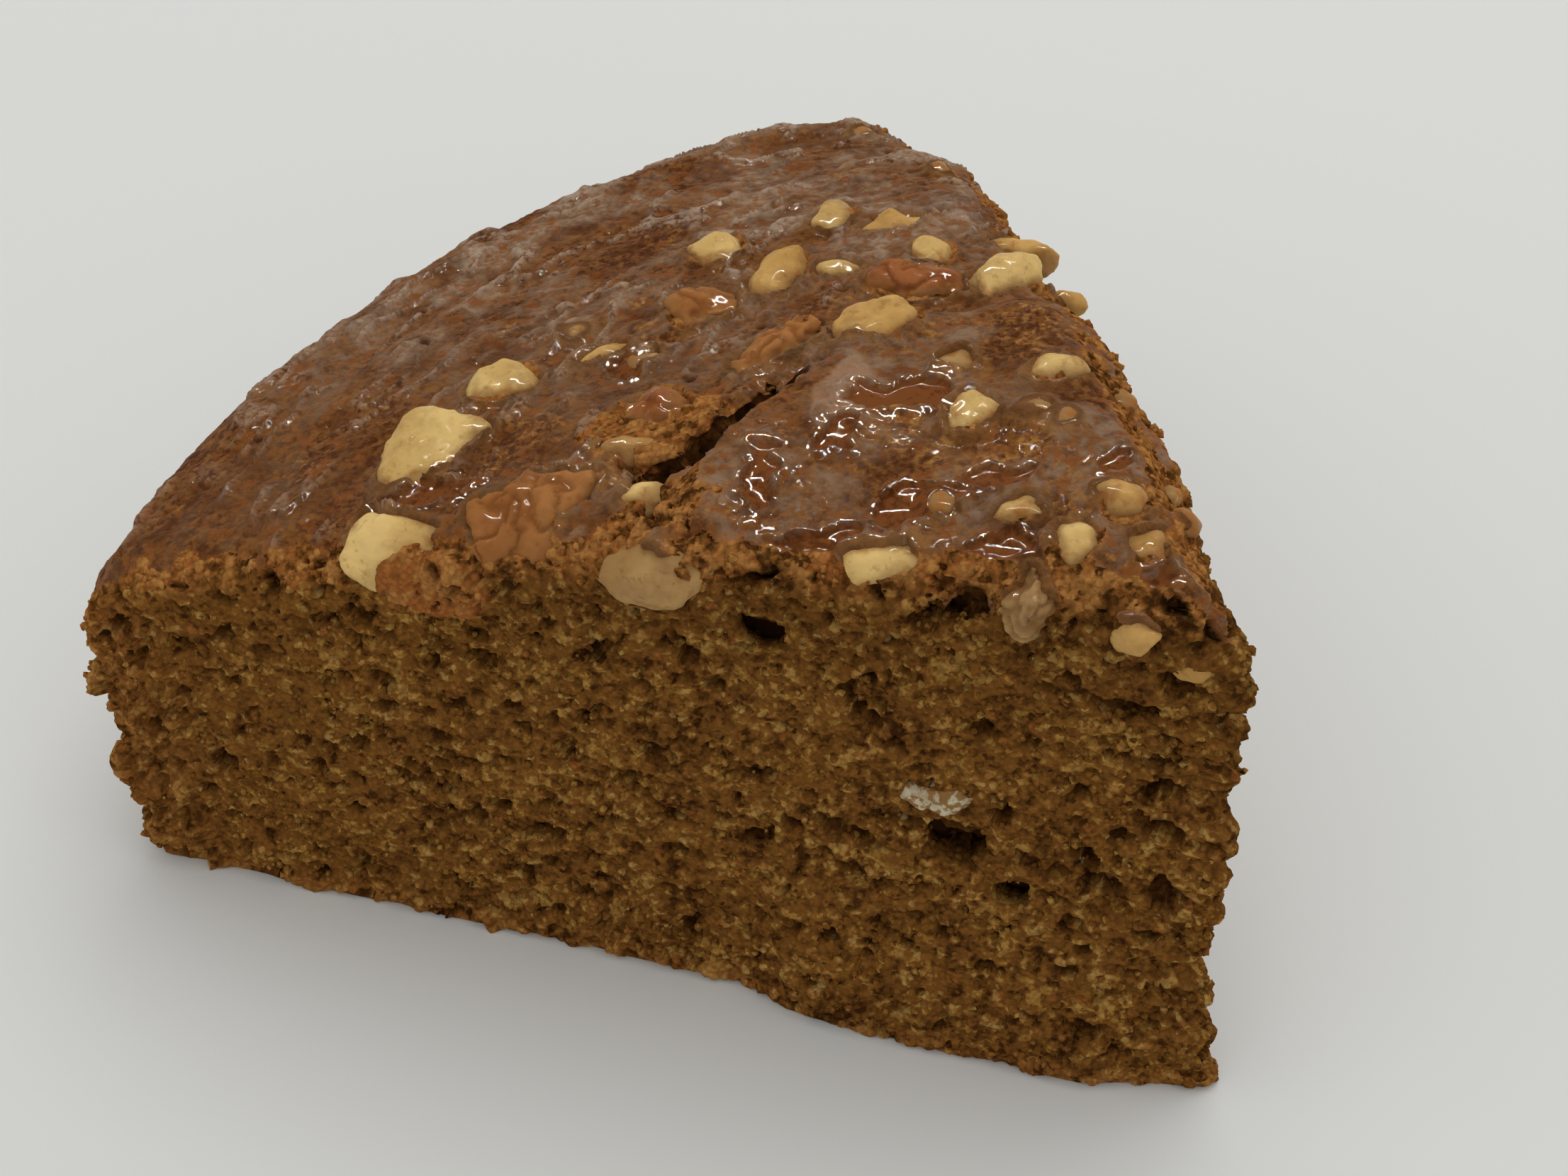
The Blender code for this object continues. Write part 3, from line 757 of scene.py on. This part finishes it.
def crumb_material(settings):
    """Moist brown crumb with golden grains and pale flecks, baked near the crust and side, with shade
    painted dark into its pores, holes, split and the gaps between its grains.
    """
    material, shader, wiring = new_material(TORN, CRUMB_FINISH)
    place = object_place(wiring)
    radius = slice_distances(place)[2]
    height = place.parts()[2]
    depth = crust_level(radius) - height
    cloud = place.noise(0.006, 3.0)
    fine = place.noise(0.0006, 2.0)
    speck = place.cells(0.00045, "Color").parts()[0]
    grit = place.cells(0.0005)
    tone = attribute(wiring, "tone")
    value = tone * 0.4 + fine * 0.4 + cloud * 0.55 + speck * 0.26
    value = value + radius.ramp(0.045, 0.085) * 0.05
    golden = (tone * 0.5 + speck * 0.3 + cloud * 0.6).ramp(0.78, 0.98)
    sugary = (speck * 0.6 + tone * 0.4).ramp(0.78, 0.94)
    # the crumb is darker in a band below the crust, towards the tip
    darker_top_band = (depth + cloud * 0.012).ramp(0.024, 0.01) * radius.ramp(0.075, 0.045)
    sides = (radius + cloud * 0.012).ramp(0.094, 0.106)
    under_crust = (depth - cloud * 0.004).ramp(0.0022, -0.0006)
    on_base = height.ramp(0.0035, 0.001) * 0.5
    browned = (sides * 0.55).biggest(under_crust.biggest(on_base)) * value.ramp(0.6, 0.92)
    specks = place.noise(0.0017, 1.0).ramp(0.67, 0.73) * 0.5
    flake = torn_spot(place, FLAKE, FLAKE_REACH, place.noise(0.002, 2.0) - 0.5)
    patch = (place.noise(0.001, 3.0, 0.6) * 0.6 + tone * 0.4).ramp(0.42, 0.64)
    # painted shade: the crumb is painted darker the deeper it lies in the split
    deep = attribute(wiring, "split") * depth.ramp(0.0002, 0.0022, 0.45, 0.95)
    colour = layered(
        value.ramp(0.44, 0.84).between(settings.crumb_dark_and_shade, settings.crumb),
        (golden * 0.65, settings.crumb_gold),
        (sugary * 0.26, settings.crumb_pale),
        (darker_top_band * 0.22, settings.crumb_dark_and_shade),
        (
            (browned * 0.85).biggest(specks.biggest(flake * 0.9)),
            patch.between(settings.baked, settings.baked_gold),
        ),
        # painted shade in the gaps between grains
        (grit.ramp(0.36, 0.66) * 0.28, settings.crumb_dark_and_shade),
        (place.spots(0.0034, 0.08, 0.15, 0.08) * 0.6, settings.crumb_pale),
        ((attribute(wiring, "pit") * 0.82).biggest(deep), settings.crumb_dark_and_shade),
    )
    wiring.feed(shader.inputs["Base Color"], colour)
    wiring.feed(shader.inputs["Roughness"], fine.ramp(0.3, 0.7, 0.95, 0.7))
    grains = grit * grit * -0.5 + place.noise(0.00045, 2.0) * 0.5
    bump(wiring, shader.inputs["Normal"], grains, 0.00026)
    return material


def crust_material(settings):
    """Baked crust under a film of glaze, with clear pools and milky glaze round the nuts; a sheen is painted
    pale on the wrinkles and on the film further back, and shade is painted dark into its pores, pinholes and
    round the nuts.
    """
    material, shader, wiring = new_material("glazed crust", CRUST_FINISH)
    place = object_place(wiring)
    inward, _, radius = slice_distances(place)
    patchy = place.noise(0.008, 3.0, 0.6)
    mottle = place.noise(0.0022, 3.0, 0.7)
    speckle = place.noise(0.0007, 3.0, 0.65)
    grain = place.cells(0.0005, "Color").parts()[0]
    pool = attribute(wiring, "pool")
    film = attribute(wiring, "film")
    near_nut = attribute(wiring, "near_nut")
    value = speckle * 0.7 + grain * 0.16 + patchy * 0.4
    sandy = (place.noise(0.0065, 3.0) - radius * 1.5).ramp(0.42, 0.52) * (1.0 - film * 0.5)
    sandy = (sandy * 0.8).biggest(0.2) * value.ramp(0.62, 0.82)
    veil = film * (speckle * 0.3 + mottle * 0.8 + grain * 0.1).ramp(0.7, 0.44, 0.12, 0.85)
    # painted sheen: the share of the film painted paler, further back and towards the tip
    back_sheen = inward.ramp(0.012, 0.045).biggest(radius.ramp(0.07, 0.045) * 0.6)
    reddish = place.noise(0.0015, 2.5, 0.6).ramp(0.55, 0.62)
    # painted sheen: pale colour on the ridges of the wrinkles, stronger further back
    sheen_on_ridges = attribute(wiring, "ridge") * speckle.ramp(0.36, 0.6)
    dark_patches = place.noise(0.0045, 3.0).ramp(0.48, 0.36)
    smear = torn_spot(place, SMEAR, SMEAR_REACH, place.noise(0.0022, 2.0) - 0.5)
    milk = (near_nut + patchy * 0.9 - 0.45).ramp(0.3, 1.1)
    clear = value.ramp(0.5, 0.66, 0.25, 1.0).between(settings.crust_dark_and_shade, settings.pool)
    colour = layered(
        value.ramp(0.5, 0.68).between(settings.crust_dark_and_shade, settings.crust),
        (sandy, settings.crust_light),
        (veil, back_sheen.between(settings.film, settings.film_sheen)),
        (reddish * 0.75, settings.red_crust),
        # painted shade in the crust's pores
        (attribute(wiring, "porous") * 0.45, settings.crust_dark_and_shade),
        (sheen_on_ridges * (back_sheen * 0.45 + 0.3), settings.ridge_sheen),
        (dark_patches * 0.45, settings.crust_dark_and_shade),
        (smear * mottle.ramp(0.3, 0.6, 0.25, 0.62), settings.smear),
        (milk * 0.65, settings.milky),
        # painted shade in the crevice where the crust meets a walnut
        (near_nut.ramp(0.72, 0.98) * 0.6, settings.crust_dark_and_shade),
        # painted shade in the pinholes
        (attribute(wiring, "pinhole"), settings.crust_dark_and_shade),
        (pool, clear),
        (attribute(wiring, "crumb") * 0.8, settings.baked),
    )
    wiring.feed(shader.inputs["Base Color"], colour)
    bump(wiring, shader.inputs["Normal"], place.noise(0.0006, 2.0) * (1.0 - pool), 0.0003)
    wet = (patchy * 0.6 + mottle * 0.4 + milk * 0.06).ramp(0.5, 0.66, 0.0, 0.16)
    wet = wet.biggest(attribute(wiring, "shine").biggest(pool * 0.22))
    wiring.feed(shader.inputs["Coat Weight"], wet)
    bump(wiring, shader.inputs["Coat Normal"], place.noise(0.0032, 1.0), 0.00008)
    return material


def inside_material(settings):
    """Plain crumb for the hidden faces that close each patch of the sponge."""
    return new_material("inner crumb", {"Base Color": settings.crumb, "Roughness": 0.9})[0]


def nearest_face(points):
    """For each point, the number of the patch whose surface is closest."""
    x, y, z = (points - np.array(TIP)).T
    radius = np.hypot(x, y)
    back = -x * math.sin(SLICE_ANGLE) - y * math.cos(SLICE_ANGLE)
    over = np.clip((radius - SHOULDER_START) / SHOULDER_WIDTH, 0, 1)
    dome = CENTRE_HEIGHT - DOME_FALL * np.minimum(radius / SHOULDER_START, 1) ** 2
    dome -= SHOULDER_DROP * (1 - np.sqrt(1 - over**2))
    side = CAKE_RADIUS - radius + 0.004 * (z > CENTRE_HEIGHT - DOME_FALL - SHOULDER_DROP)
    owner = np.stack([y, back, dome - z, side, np.where(z < 1e-5, -1.0, z + 0.002)]).argmin(axis=0)
    for inner, outer in OUTER_HALVES.items():
        owner[(owner == inner) & (radius > OUTER_RADIUS)] = outer
    return owner


def open_edges(faces):
    """The directed edges that only one of these quads has."""
    edges = np.concatenate([faces[:, [side, (side + 1) % 4]] for side in range(4)])
    pairs = {(start, end) for start, end in edges.tolist()}
    return [(start, end) for start, end in pairs if (end, start) not in pairs]


def flat_map(name, points):
    """Where each point lies on the patch's own map, seen square on."""
    x, y, z = (points - np.array(TIP)).T
    if name == "sponge_front":
        flat = np.stack([x, z])
    elif name.startswith("sponge_back"):
        flat = np.stack([y * math.sin(SLICE_ANGLE) - x * math.cos(SLICE_ANGLE), z])
    elif name == "sponge_side":
        flat = np.stack([np.arctan2(y, -x) * CAKE_RADIUS, z])
    else:
        flat = np.stack([x, y])
    low = flat.min(axis=1, keepdims=True)
    high = flat.max(axis=1, keepdims=True)
    return ((flat - low) / (high - low) * (1 - 2 * MAP_MARGIN) + MAP_MARGIN).T


def closed_patch(name, vertices, faces, values, materials):
    """A patch of the surface, closed behind by a cone down to the core."""
    rim = sorted(open_edges(faces))
    base = name == "sponge_base"
    kept = np.unique(np.array(rim) if base else faces)
    number = np.full(len(vertices), -1)
    number[kept] = np.arange(len(kept))
    core = len(kept)
    polygons = [] if base else number[faces].tolist()
    middle = [(number[start], number[end], core + 1) for start, end in rim] if base else []
    polygons += [(number[end], number[start], core) for start, end in rim] + middle
    points = np.concatenate([vertices[kept], [CORE], [(CORE.x, CORE.y, 0.0)]])
    points = points if base else points[:-1]
    mesh = bpy.data.meshes.new(name)
    mesh.from_pydata(points.tolist(), [], polygons)
    for material in materials:
        mesh.materials.append(material)
    for label, value in values.items():
        spread = np.zeros(len(points), np.float32)
        spread[: len(kept)] = value[kept]
        mesh.attributes.new(label, "FLOAT", "POINT").data.foreach_set("value", spread)
    slots = np.full(len(polygons), HIDDEN_SLOT, np.int32)
    if base:
        slots[len(rim) :] = CRUMB_SLOT
    else:
        open_crumb = np.maximum(values["crumb"], values["side"])[faces].mean(axis=1) > 0.5
        slots[: len(faces)] = np.where(open_crumb, CRUMB_SLOT, CRUST_SLOT)
    mesh.polygons.foreach_set("material_index", slots)
    layer = mesh.uv_layers.new(name="OFBake")
    corners = array_of(mesh.loops, "vertex_index", np.int32)
    layer.uv.foreach_set("vector", flat_map(name, points)[corners].astype(np.float32).ravel())
    mesh.shade_smooth()
    mark_rim(mesh, slots)
    return new_piece(name, mesh)


def mark_rim(mesh, slots):
    """Makes the edges where the surface meets the closing cone sharp, so that the cone doesn't shade it."""
    edges = array_of(mesh.loops, "edge_index", np.int32)
    totals = array_of(mesh.polygons, "loop_total", np.int32)
    hidden = np.repeat(slots == HIDDEN_SLOT, totals)
    sharp = np.zeros(len(mesh.edges), bool)
    sharp[np.intersect1d(edges[hidden], edges[~hidden])] = True
    mesh.attributes.new("sharp_edge", "BOOLEAN", "EDGE").data.foreach_set("value", sharp)


def split_patches(source, materials):
    """Closed pieces that fill the sponge, one or two for each of its faces."""
    vertices = array_of(source.data.vertices, "co", np.float32, 3)
    quads = array_of(source.data.loops, "vertex_index", np.int32).reshape(-1, 4)
    owner = nearest_face(vertices[quads].mean(axis=1))
    values = {name: array_of(source.data.attributes[name].data, "value", np.float32) for name in KEPT_VALUES}
    return [
        closed_patch(name, vertices, quads[owner == number], values, materials)
        for number, name in enumerate(PATCHES)
    ]


class CAKE_OT_sponge(bpy.types.Operator):
    """Makes the sponge's porous cut faces, glazed crust and baked side"""

    bl_idname = "cake.sponge"
    bl_label = "Sponge"

    def execute(self, context):
        settings = context.scene.cake_sponge
        materials = (crumb_material(settings), crust_material(settings), inside_material(settings))
        growths = {"sponge": 0.0} | {name: settings.skin for name in WALNUT_NAMES}
        source = solid_copy("sponge_source", growths, settings.voxel)
        values = {name: getattr(settings, name) for name in SPONGE_LENGTHS}
        values |= {
            "walnuts": bpy.data.objects["walnut_cores"],
            "sponge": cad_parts["sponge"],
            "softening": settings.softening,
        }
        apply_tree(source, make_relief_tree(settings, materials[0]), values)
        for piece in split_patches(source, materials):
            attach(piece, BODY)
            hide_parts("sponge")
        bpy.data.objects.remove(bpy.data.objects["walnut_cores"])
        return {"FINISHED"}


# ---- Loose crumbs ----


def make_crumb_tree(material):
    """Small uneven crumbs, scattered where the sponge is torn."""
    sockets = {"density": "Float", "smallest": "Float", "largest": "Float", "seed": "Int"}
    wiring, given = geometry_tree("Loose crumbs", sockets)
    torn = named(wiring, "crumb").biggest(named(wiring, "side")) * (1.0 - named(wiring, "near_nut"))
    place = wiring.field("GeometryNodeInputPosition")
    clear = place.parts()[2].ramp(0.0008, 0.0016) * crack_distance(place).ramp(0.003, 0.005)
    patchy = place.noise(0.006, 2.0).ramp(0.42, 0.6, 0.25, 1.6)
    density = given["density"] * torn * patchy * clear
    inputs = {"Mesh": given["Geometry"], "Density": density, "Seed": given["seed"]}
    points = wiring.field("GeometryNodeDistributePointsOnFaces", inputs)
    ball = wiring.field("GeometryNodeMeshIcoSphere", {"Subdivisions": 1, "Radius": 0.5})
    lumps = place.noise(0.55, 2.0, out="Color").vector("SUBTRACT", (0.5, 0.5, 0.5))
    turns = {"Max": (math.tau, math.tau, math.tau), "Seed": 1}
    sizes = {"Min": given["smallest"], "Max": given["largest"], "Seed": 2}
    tones = {"Min": 0.3, "Max": 1.0, "Seed": 3}
    inputs = {
        "Points": points,
        "Instance": wiring.field("GeometryNodeSetPosition", {"Geometry": ball, "Offset": lumps.scaled(1.1)}),
        "Rotation": wiring.field("FunctionNodeRandomValue", turns, data_type="FLOAT_VECTOR"),
        "Scale": wiring.field("FunctionNodeRandomValue", sizes, "Value"),
    }
    geometry = wiring.field("GeometryNodeInstanceOnPoints", inputs)
    tone = wiring.field("FunctionNodeRandomValue", tones, "Value")
    finish_tree(wiring, stored(wiring, geometry, "tone", tone, "INSTANCE"), material)
    return wiring


class CAKE_OT_crumbs(bpy.types.Operator):
    """Scatters loose crumbs over the torn faces"""

    bl_idname = "cake.crumbs"
    bl_label = "Loose Crumbs"

    def execute(self, context):
        settings = context.scene.cake_crumbs
        source = bpy.data.objects["sponge_source"]
        source.name = "loose_crumbs"
        values = {name: getattr(settings, name) for name in ("density", "smallest", "largest", "seed")}
        apply_tree(source, make_crumb_tree(bpy.data.materials[TORN]), values)
        source.data.shade_smooth()
        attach(source, BODY)
        return {"FINISHED"}


# ---- The walnuts ----

FINISHES = {
    "cream": (1, 4, 5, 6, 13, 15, 18, 19, 20, 24, 25, 26, 28, 30),
    "tan": (7, 9, 12, 14, 17, 21, 22, 27, 29, 32, 33),
    "skin": (3, 10, 11),
    "red_skin": (8, 16),
    "grey": (31,),
    "milky": (2, 23),
    "chalky": (34,),
}
GLAZE_REACH = 0.0018  # how far from the crust glaze lies on a walnut
BIT_GLAZE_REACH = 0.0007
GRAININESS = 0.00018  # height of the fine grain on a walnut
CHALKY_GRAININESS = 0.001
DEEPER = (0.62, 0.5, 0.38)  # what a walnut's colour is multiplied by in its hollows
LIGHTER = (1.24, 1.32, 1.45)  # and in its palest patches
CHALKY_CRUMB = (0.26, 0.12, 0.03, 1.0)
CHIPS = 5  # flat faces on a bit of nut
CHIP_REACH = 0.68
BIT_SHAPE = Vector((0.6, 0.48, 0.6)) * MM
BIT_SUNK = 0.4 * MM
WALNUT_FINISH = {
    "Roughness": 0.5,
    "Specular IOR Level": 0.0,
    "Subsurface Weight": 0.2,
    "Subsurface Radius": (1.0, 0.5, 0.2),
    "Subsurface Scale": 0.0015,
    "Coat Roughness": 0.12,
}


def make_walnut_tree(settings):
    """A walnut's fine surface. Skinned is 1 where the wrinkled skin is on and 0 on cut flesh."""
    sockets = {"sponge": "Object", "softening": "Int", "skinned": "Float", "wrinkle_depth": "Float"}
    sockets |= {"glaze_reach": "Float", "graininess": "Float", "material": "Material"}
    wiring, given = geometry_tree("Walnut relief", sockets)
    geometry = softened(wiring, given["Geometry"], given["softening"])
    place = wiring.field("GeometryNodeInputPosition")
    normal = wiring.field("GeometryNodeInputNormal")
    bent = place.swirled(0.004, 0.0016)
    valley = abs(bent.noise(settings.wrinkle_size, 1.5) - 0.5).ramp(0.09, 0.0)
    chipped = bent.noise(0.0034, 1.5) - 0.5
    creased = place.swirled(0.002, 0.001).cells(0.003) - 0.45
    rough = place.noise(0.0009, 3.0) - 0.5
    wrinkled = valley * given["wrinkle_depth"] * given["skinned"]
    rise = chipped * 0.0009 - creased * 0.0005 + rough * given["graininess"] - wrinkled
    ragged = (place.noise(0.0026, 2.5) - 0.5) * 0.0034
    geometry = stored(wiring, geometry, "valley", valley)
    near = (distance_to(wiring, given["sponge"]) + ragged).ramp(given["glaze_reach"], 0.0005)
    on_crust = slice_distances(place)[0].ramp(0.0005, 0.003, 0.25, 1.0)
    geometry = stored(wiring, geometry, "glazed", near * on_crust)
    inputs = {"Geometry": geometry, "Offset": normal.scaled(rise)}
    finish_tree(wiring, wiring.field("GeometryNodeSetPosition", inputs), given["material"])
    return wiring


def tinted(colour, factors):
    """A colour with each of its channels multiplied."""
    return tuple(channel * factor for channel, factor in zip(colour[:3], factors)) + (1.0,)


def walnut_material(name, colour, settings, skinned):
    """Waxy walnut, browner in its wrinkles and where glaze gathers round it."""
    material, shader, wiring = new_material("walnut " + name.replace("_", " "), WALNUT_FINISH)
    place = object_place(wiring)
    cloud = place.noise(0.0035, 3.0)
    fine = place.noise(0.0007, 3.0)
    paler = place.noise(0.008, 1.0).ramp(0.38, 0.56)
    mottle = (cloud * 0.75 + fine * 0.25).ramp(0.42, 0.68)
    specks = place.noise(0.0008, 2.0).ramp(0.6, 0.68)
    glazed = attribute(wiring, "glazed")
    dusted = glazed * place.noise(0.001, 2.0).ramp(0.5, 0.6)
    deep = tinted(colour, DEEPER)
    chalky = name == "chalky"
    layers = [
        (paler * 0.9, tinted(colour, LIGHTER)),
        (mottle * (0.9 if name == "grey" else 0.5), deep),
        (specks * 0.4, deep),
        (glazed * (0.15 if chalky else 0.68), settings.glaze_tint),
        (dusted * 0.7, settings.dust),
    ]
    if chalky:
        layers.insert(2, (fine.ramp(0.46, 0.56) * 0.9, CHALKY_CRUMB))
    if skinned:
        layers.insert(2, (attribute(wiring, "valley") * 0.7, deep))
    wiring.feed(shader.inputs["Base Color"], layered(colour, *layers))
    bump(wiring, shader.inputs["Normal"], fine, 0.00012)
    wet = cloud.ramp(0.46, 0.72, 0.0, 0.8 if name == "red_skin" else 0.45)
    wiring.feed(shader.inputs["Coat Weight"], wet)
    return material


def crust_under(along, inward):
    """The point of the plain sponge's crust at this place, in mm from the tip."""
    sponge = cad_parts["sponge"]
    start = Vector((TIP.x - along * MM, TIP.y + inward * MM, 1.0))
    tree = BVHTree.FromObject(sponge, bpy.context.evaluated_depsgraph_get())
    return tree.ray_cast(start, Vector((0.0, 0.0, -1.0)))[0]


def nut_bit(place, size, height, seed):
    """A small uneven bit of nut. Its size and height are in mm."""
    draw = random.Random(seed)
    bm = bmesh.new()
    bmesh.ops.create_icosphere(bm, subdivisions=2, radius=1.0)
    planes = [Vector([draw.uniform(-1, 1) for _ in range(3)]).normalized() for _ in range(CHIPS)]
    turn = Matrix.Rotation(draw.uniform(0, math.tau), 3, "Z")
    reach = Vector((size, size, height)) * BIT_SHAPE
    middle = place - Vector((0, 0, height * BIT_SUNK))
    for vertex in bm.verts:
        point = vertex.co.copy()
        for plane in planes:
            point -= plane * max(0.0, point.dot(plane) - CHIP_REACH)
        vertex.co = middle + turn @ (point * reach)
    return bm


class CAKE_OT_walnuts(bpy.types.Operator):
    """Makes every chopped walnut piece and bit, waxy, wrinkled and partly glazed"""

    bl_idname = "cake.walnuts"
    bl_label = "Walnuts"

    def execute(self, context):
        settings = context.scene.cake_walnuts
        self.tree = make_walnut_tree(settings)
        made = []
        for finish, numbers in FINISHES.items():
            skinned = "skin" in finish or finish == "grey"
            material = walnut_material(finish, getattr(settings, finish), settings, skinned)
            for number in numbers:
                node = f"walnut_{number:02d}"
                piece = solid_copy(node + "_nut", {node: settings.glazing}, settings.voxel)
                graininess = CHALKY_GRAININESS if finish == "chalky" else GRAININESS
                self.dress(piece, settings, material, skinned, GLAZE_REACH, graininess)
                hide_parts(node)
                made.append(piece)
        made.append(self.bits(settings))
        self.join_cores(made)
        return {"FINISHED"}

    def dress(self, piece, settings, material, skinned, glaze_reach, graininess):
        values = {
            "sponge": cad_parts["sponge"],
            "softening": settings.softening,
            "skinned": 1.0 if skinned else 0.2,
            "wrinkle_depth": settings.wrinkle_depth,
            "glaze_reach": glaze_reach,
            "graininess": graininess,
            "material": material,
        }
        apply_tree(piece, self.tree, values)
        piece.data.shade_smooth()
        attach(piece, BODY)

    def bits(self, settings):
        """The bits of nut that are part of the sponge's solid."""
        whole = bmesh.new()
        for seed, (along, inward, size, height) in enumerate(NUT_BITS):
            poured(nut_bit(crust_under(along, inward), size, height, seed), whole)
        piece = remeshed("walnut_bits", whole, settings.voxel)
        material = bpy.data.materials["walnut milky"]
        self.dress(piece, settings, material, False, BIT_GLAZE_REACH, GRAININESS)
        return piece

    def join_cores(self, made):
        """One mesh of all the walnuts, which the sponge's relief closes in on."""
        bm = bmesh.new()
        for piece in made:
            bm.from_mesh(piece.data)
        mesh = bpy.data.meshes.new("walnut_cores")
        bm.to_mesh(mesh)
        bm.free()
        new_piece("walnut_cores", mesh)


# ---- The table, lights and camera ----


TABLE_REACH = 6.0
TABLE_FINISH = {"Roughness": 0.6, "Specular IOR Level": 0.0}
MIDDLE = Vector((0.0, 0.0, 0.03))  # where every light is aimed
OVERHEAD_PLACE = (0.05, 0.22, 0.88)
OVERHEAD_SIZE = (0.7, 0.7)
WINDOW_PLACE = (-0.25, 0.85, 0.34)
WINDOW_SIZE = (0.8, 0.3)
LAMPS = 24  # in a row above and behind the cake, for the small glints on its glaze
LAMP_ROW = (-0.35, 0.2, 0.6)
LAMP_SPACING = 0.025
LAMP_SIZE = (0.005, 0.005)
WHITE = (1.0, 1.0, 1.0)
WARM = (1.0, 0.93, 0.8)
SENSOR_WIDTH = 36.0


def area_light(name, place, size, power, colour=WHITE):
    light = bpy.data.lights.new(name, "AREA")
    light.shape = "RECTANGLE"
    light.size, light.size_y = size
    light.energy = power
    light.color = colour
    lamp = bpy.data.objects.new(name, light)
    lamp.location = place
    lamp.rotation_euler = (MIDDLE - Vector(place)).to_track_quat("-Z", "Y").to_euler()
    bpy.context.scene.collection.objects.link(lamp)
    return lamp


class CAKE_OT_studio(bpy.types.Operator):
    """Makes the table, the lights and the camera"""

    bl_idname = "cake.studio"
    bl_label = "Studio"

    def execute(self, context):
        settings = context.scene.cake_studio
        self.table(settings)
        self.lights(context, settings)
        self.camera(context, settings)
        return {"FINISHED"}

    def table(self, settings):
        mesh = bpy.data.meshes.new("table")
        corners = [(x * TABLE_REACH, y * TABLE_REACH, 0) for x, y in ((-1, -1), (1, -1), (1, 1), (-1, 1))]
        mesh.from_pydata(corners, [], [(0, 1, 2, 3)])
        mesh.materials.append(new_material("table", TABLE_FINISH | {"Base Color": settings.floor})[0])
        new_piece("table", mesh)

    def lights(self, context, settings):
        """Soft light from all round and above, and a window and lamps that show in the glaze alone."""
        world = bpy.data.worlds.new("soft light")
        world.use_nodes = True
        sky = world.node_tree.nodes["Background"]
        sky.inputs["Color"].default_value = settings.sky
        sky.inputs["Strength"].default_value = settings.sky_strength
        world.cycles_visibility.glossy = False
        context.scene.world = world
        overhead = area_light("overhead", OVERHEAD_PLACE, OVERHEAD_SIZE, settings.overhead_power)
        overhead.visible_glossy = False
        glints = [area_light("window", WINDOW_PLACE, WINDOW_SIZE, settings.window_power)]
        start, y, z = LAMP_ROW
        for number in range(LAMPS):
            place = (start + LAMP_SPACING * number, y, z)
            glints.append(area_light(f"lamp_{number}", place, LAMP_SIZE, settings.lamp_power, WARM))
        for glint in glints:
            glint.visible_diffuse = False

    def camera(self, context, settings):
        camera = bpy.data.cameras.new("camera")
        camera.sensor_width = SENSOR_WIDTH
        camera.lens = settings.lens
        camera.clip_start = 0.01
        stand = bpy.data.objects.new("camera", camera)
        pitch, roll, turn = settings.camera_turn
        aim = Euler((pitch, 0.0, turn)).to_matrix() @ Matrix.Rotation(roll, 3, "Z")
        stand.matrix_world = Matrix.Translation(settings.camera_place) @ aim.to_4x4()
        context.scene.collection.objects.link(stand)
        context.scene.camera = stand
        context.scene.view_settings.view_transform = "Standard"


# ---- The add-on ----


class CAKE_PT_panel(bpy.types.Panel):
    """The steps that finish the slice, in order"""

    bl_idname = "CAKE_PT_panel"
    bl_label = "Coffee Walnut Cake"
    bl_space_type = "VIEW_3D"
    bl_region_type = "UI"
    bl_category = "Cake"

    def draw(self, context):
        for operator in OPERATORS:
            self.layout.operator(operator.bl_idname)
        for group in SETTINGS:
            settings = getattr(context.scene, group)
            column = self.layout.column(align=True)
            for name in settings.bl_rna.properties.keys():
                if name not in ("rna_type", "name"):
                    column.prop(settings, name)


OPERATORS = (CAKE_OT_walnuts, CAKE_OT_sponge, CAKE_OT_crumbs, CAKE_OT_studio)
SETTINGS = {
    "cake_sponge": SpongeSettings,
    "cake_walnuts": WalnutSettings,
    "cake_crumbs": CrumbSettings,
    "cake_studio": StudioSettings,
}
CLASSES = (*SETTINGS.values(), *OPERATORS, CAKE_PT_panel)


def register():
    for cls in CLASSES:
        bpy.utils.register_class(cls)
    for name, settings in SETTINGS.items():
        setattr(bpy.types.Scene, name, PointerProperty(type=settings))


def unregister():
    for name in SETTINGS:
        delattr(bpy.types.Scene, name)
    for cls in reversed(CLASSES):
        bpy.utils.unregister_class(cls)


def main():
    register()
    for operator in OPERATORS:
        group, name = operator.bl_idname.split(".")
        getattr(getattr(bpy.ops, group), name)()


if __name__ == "__main__":
    main()
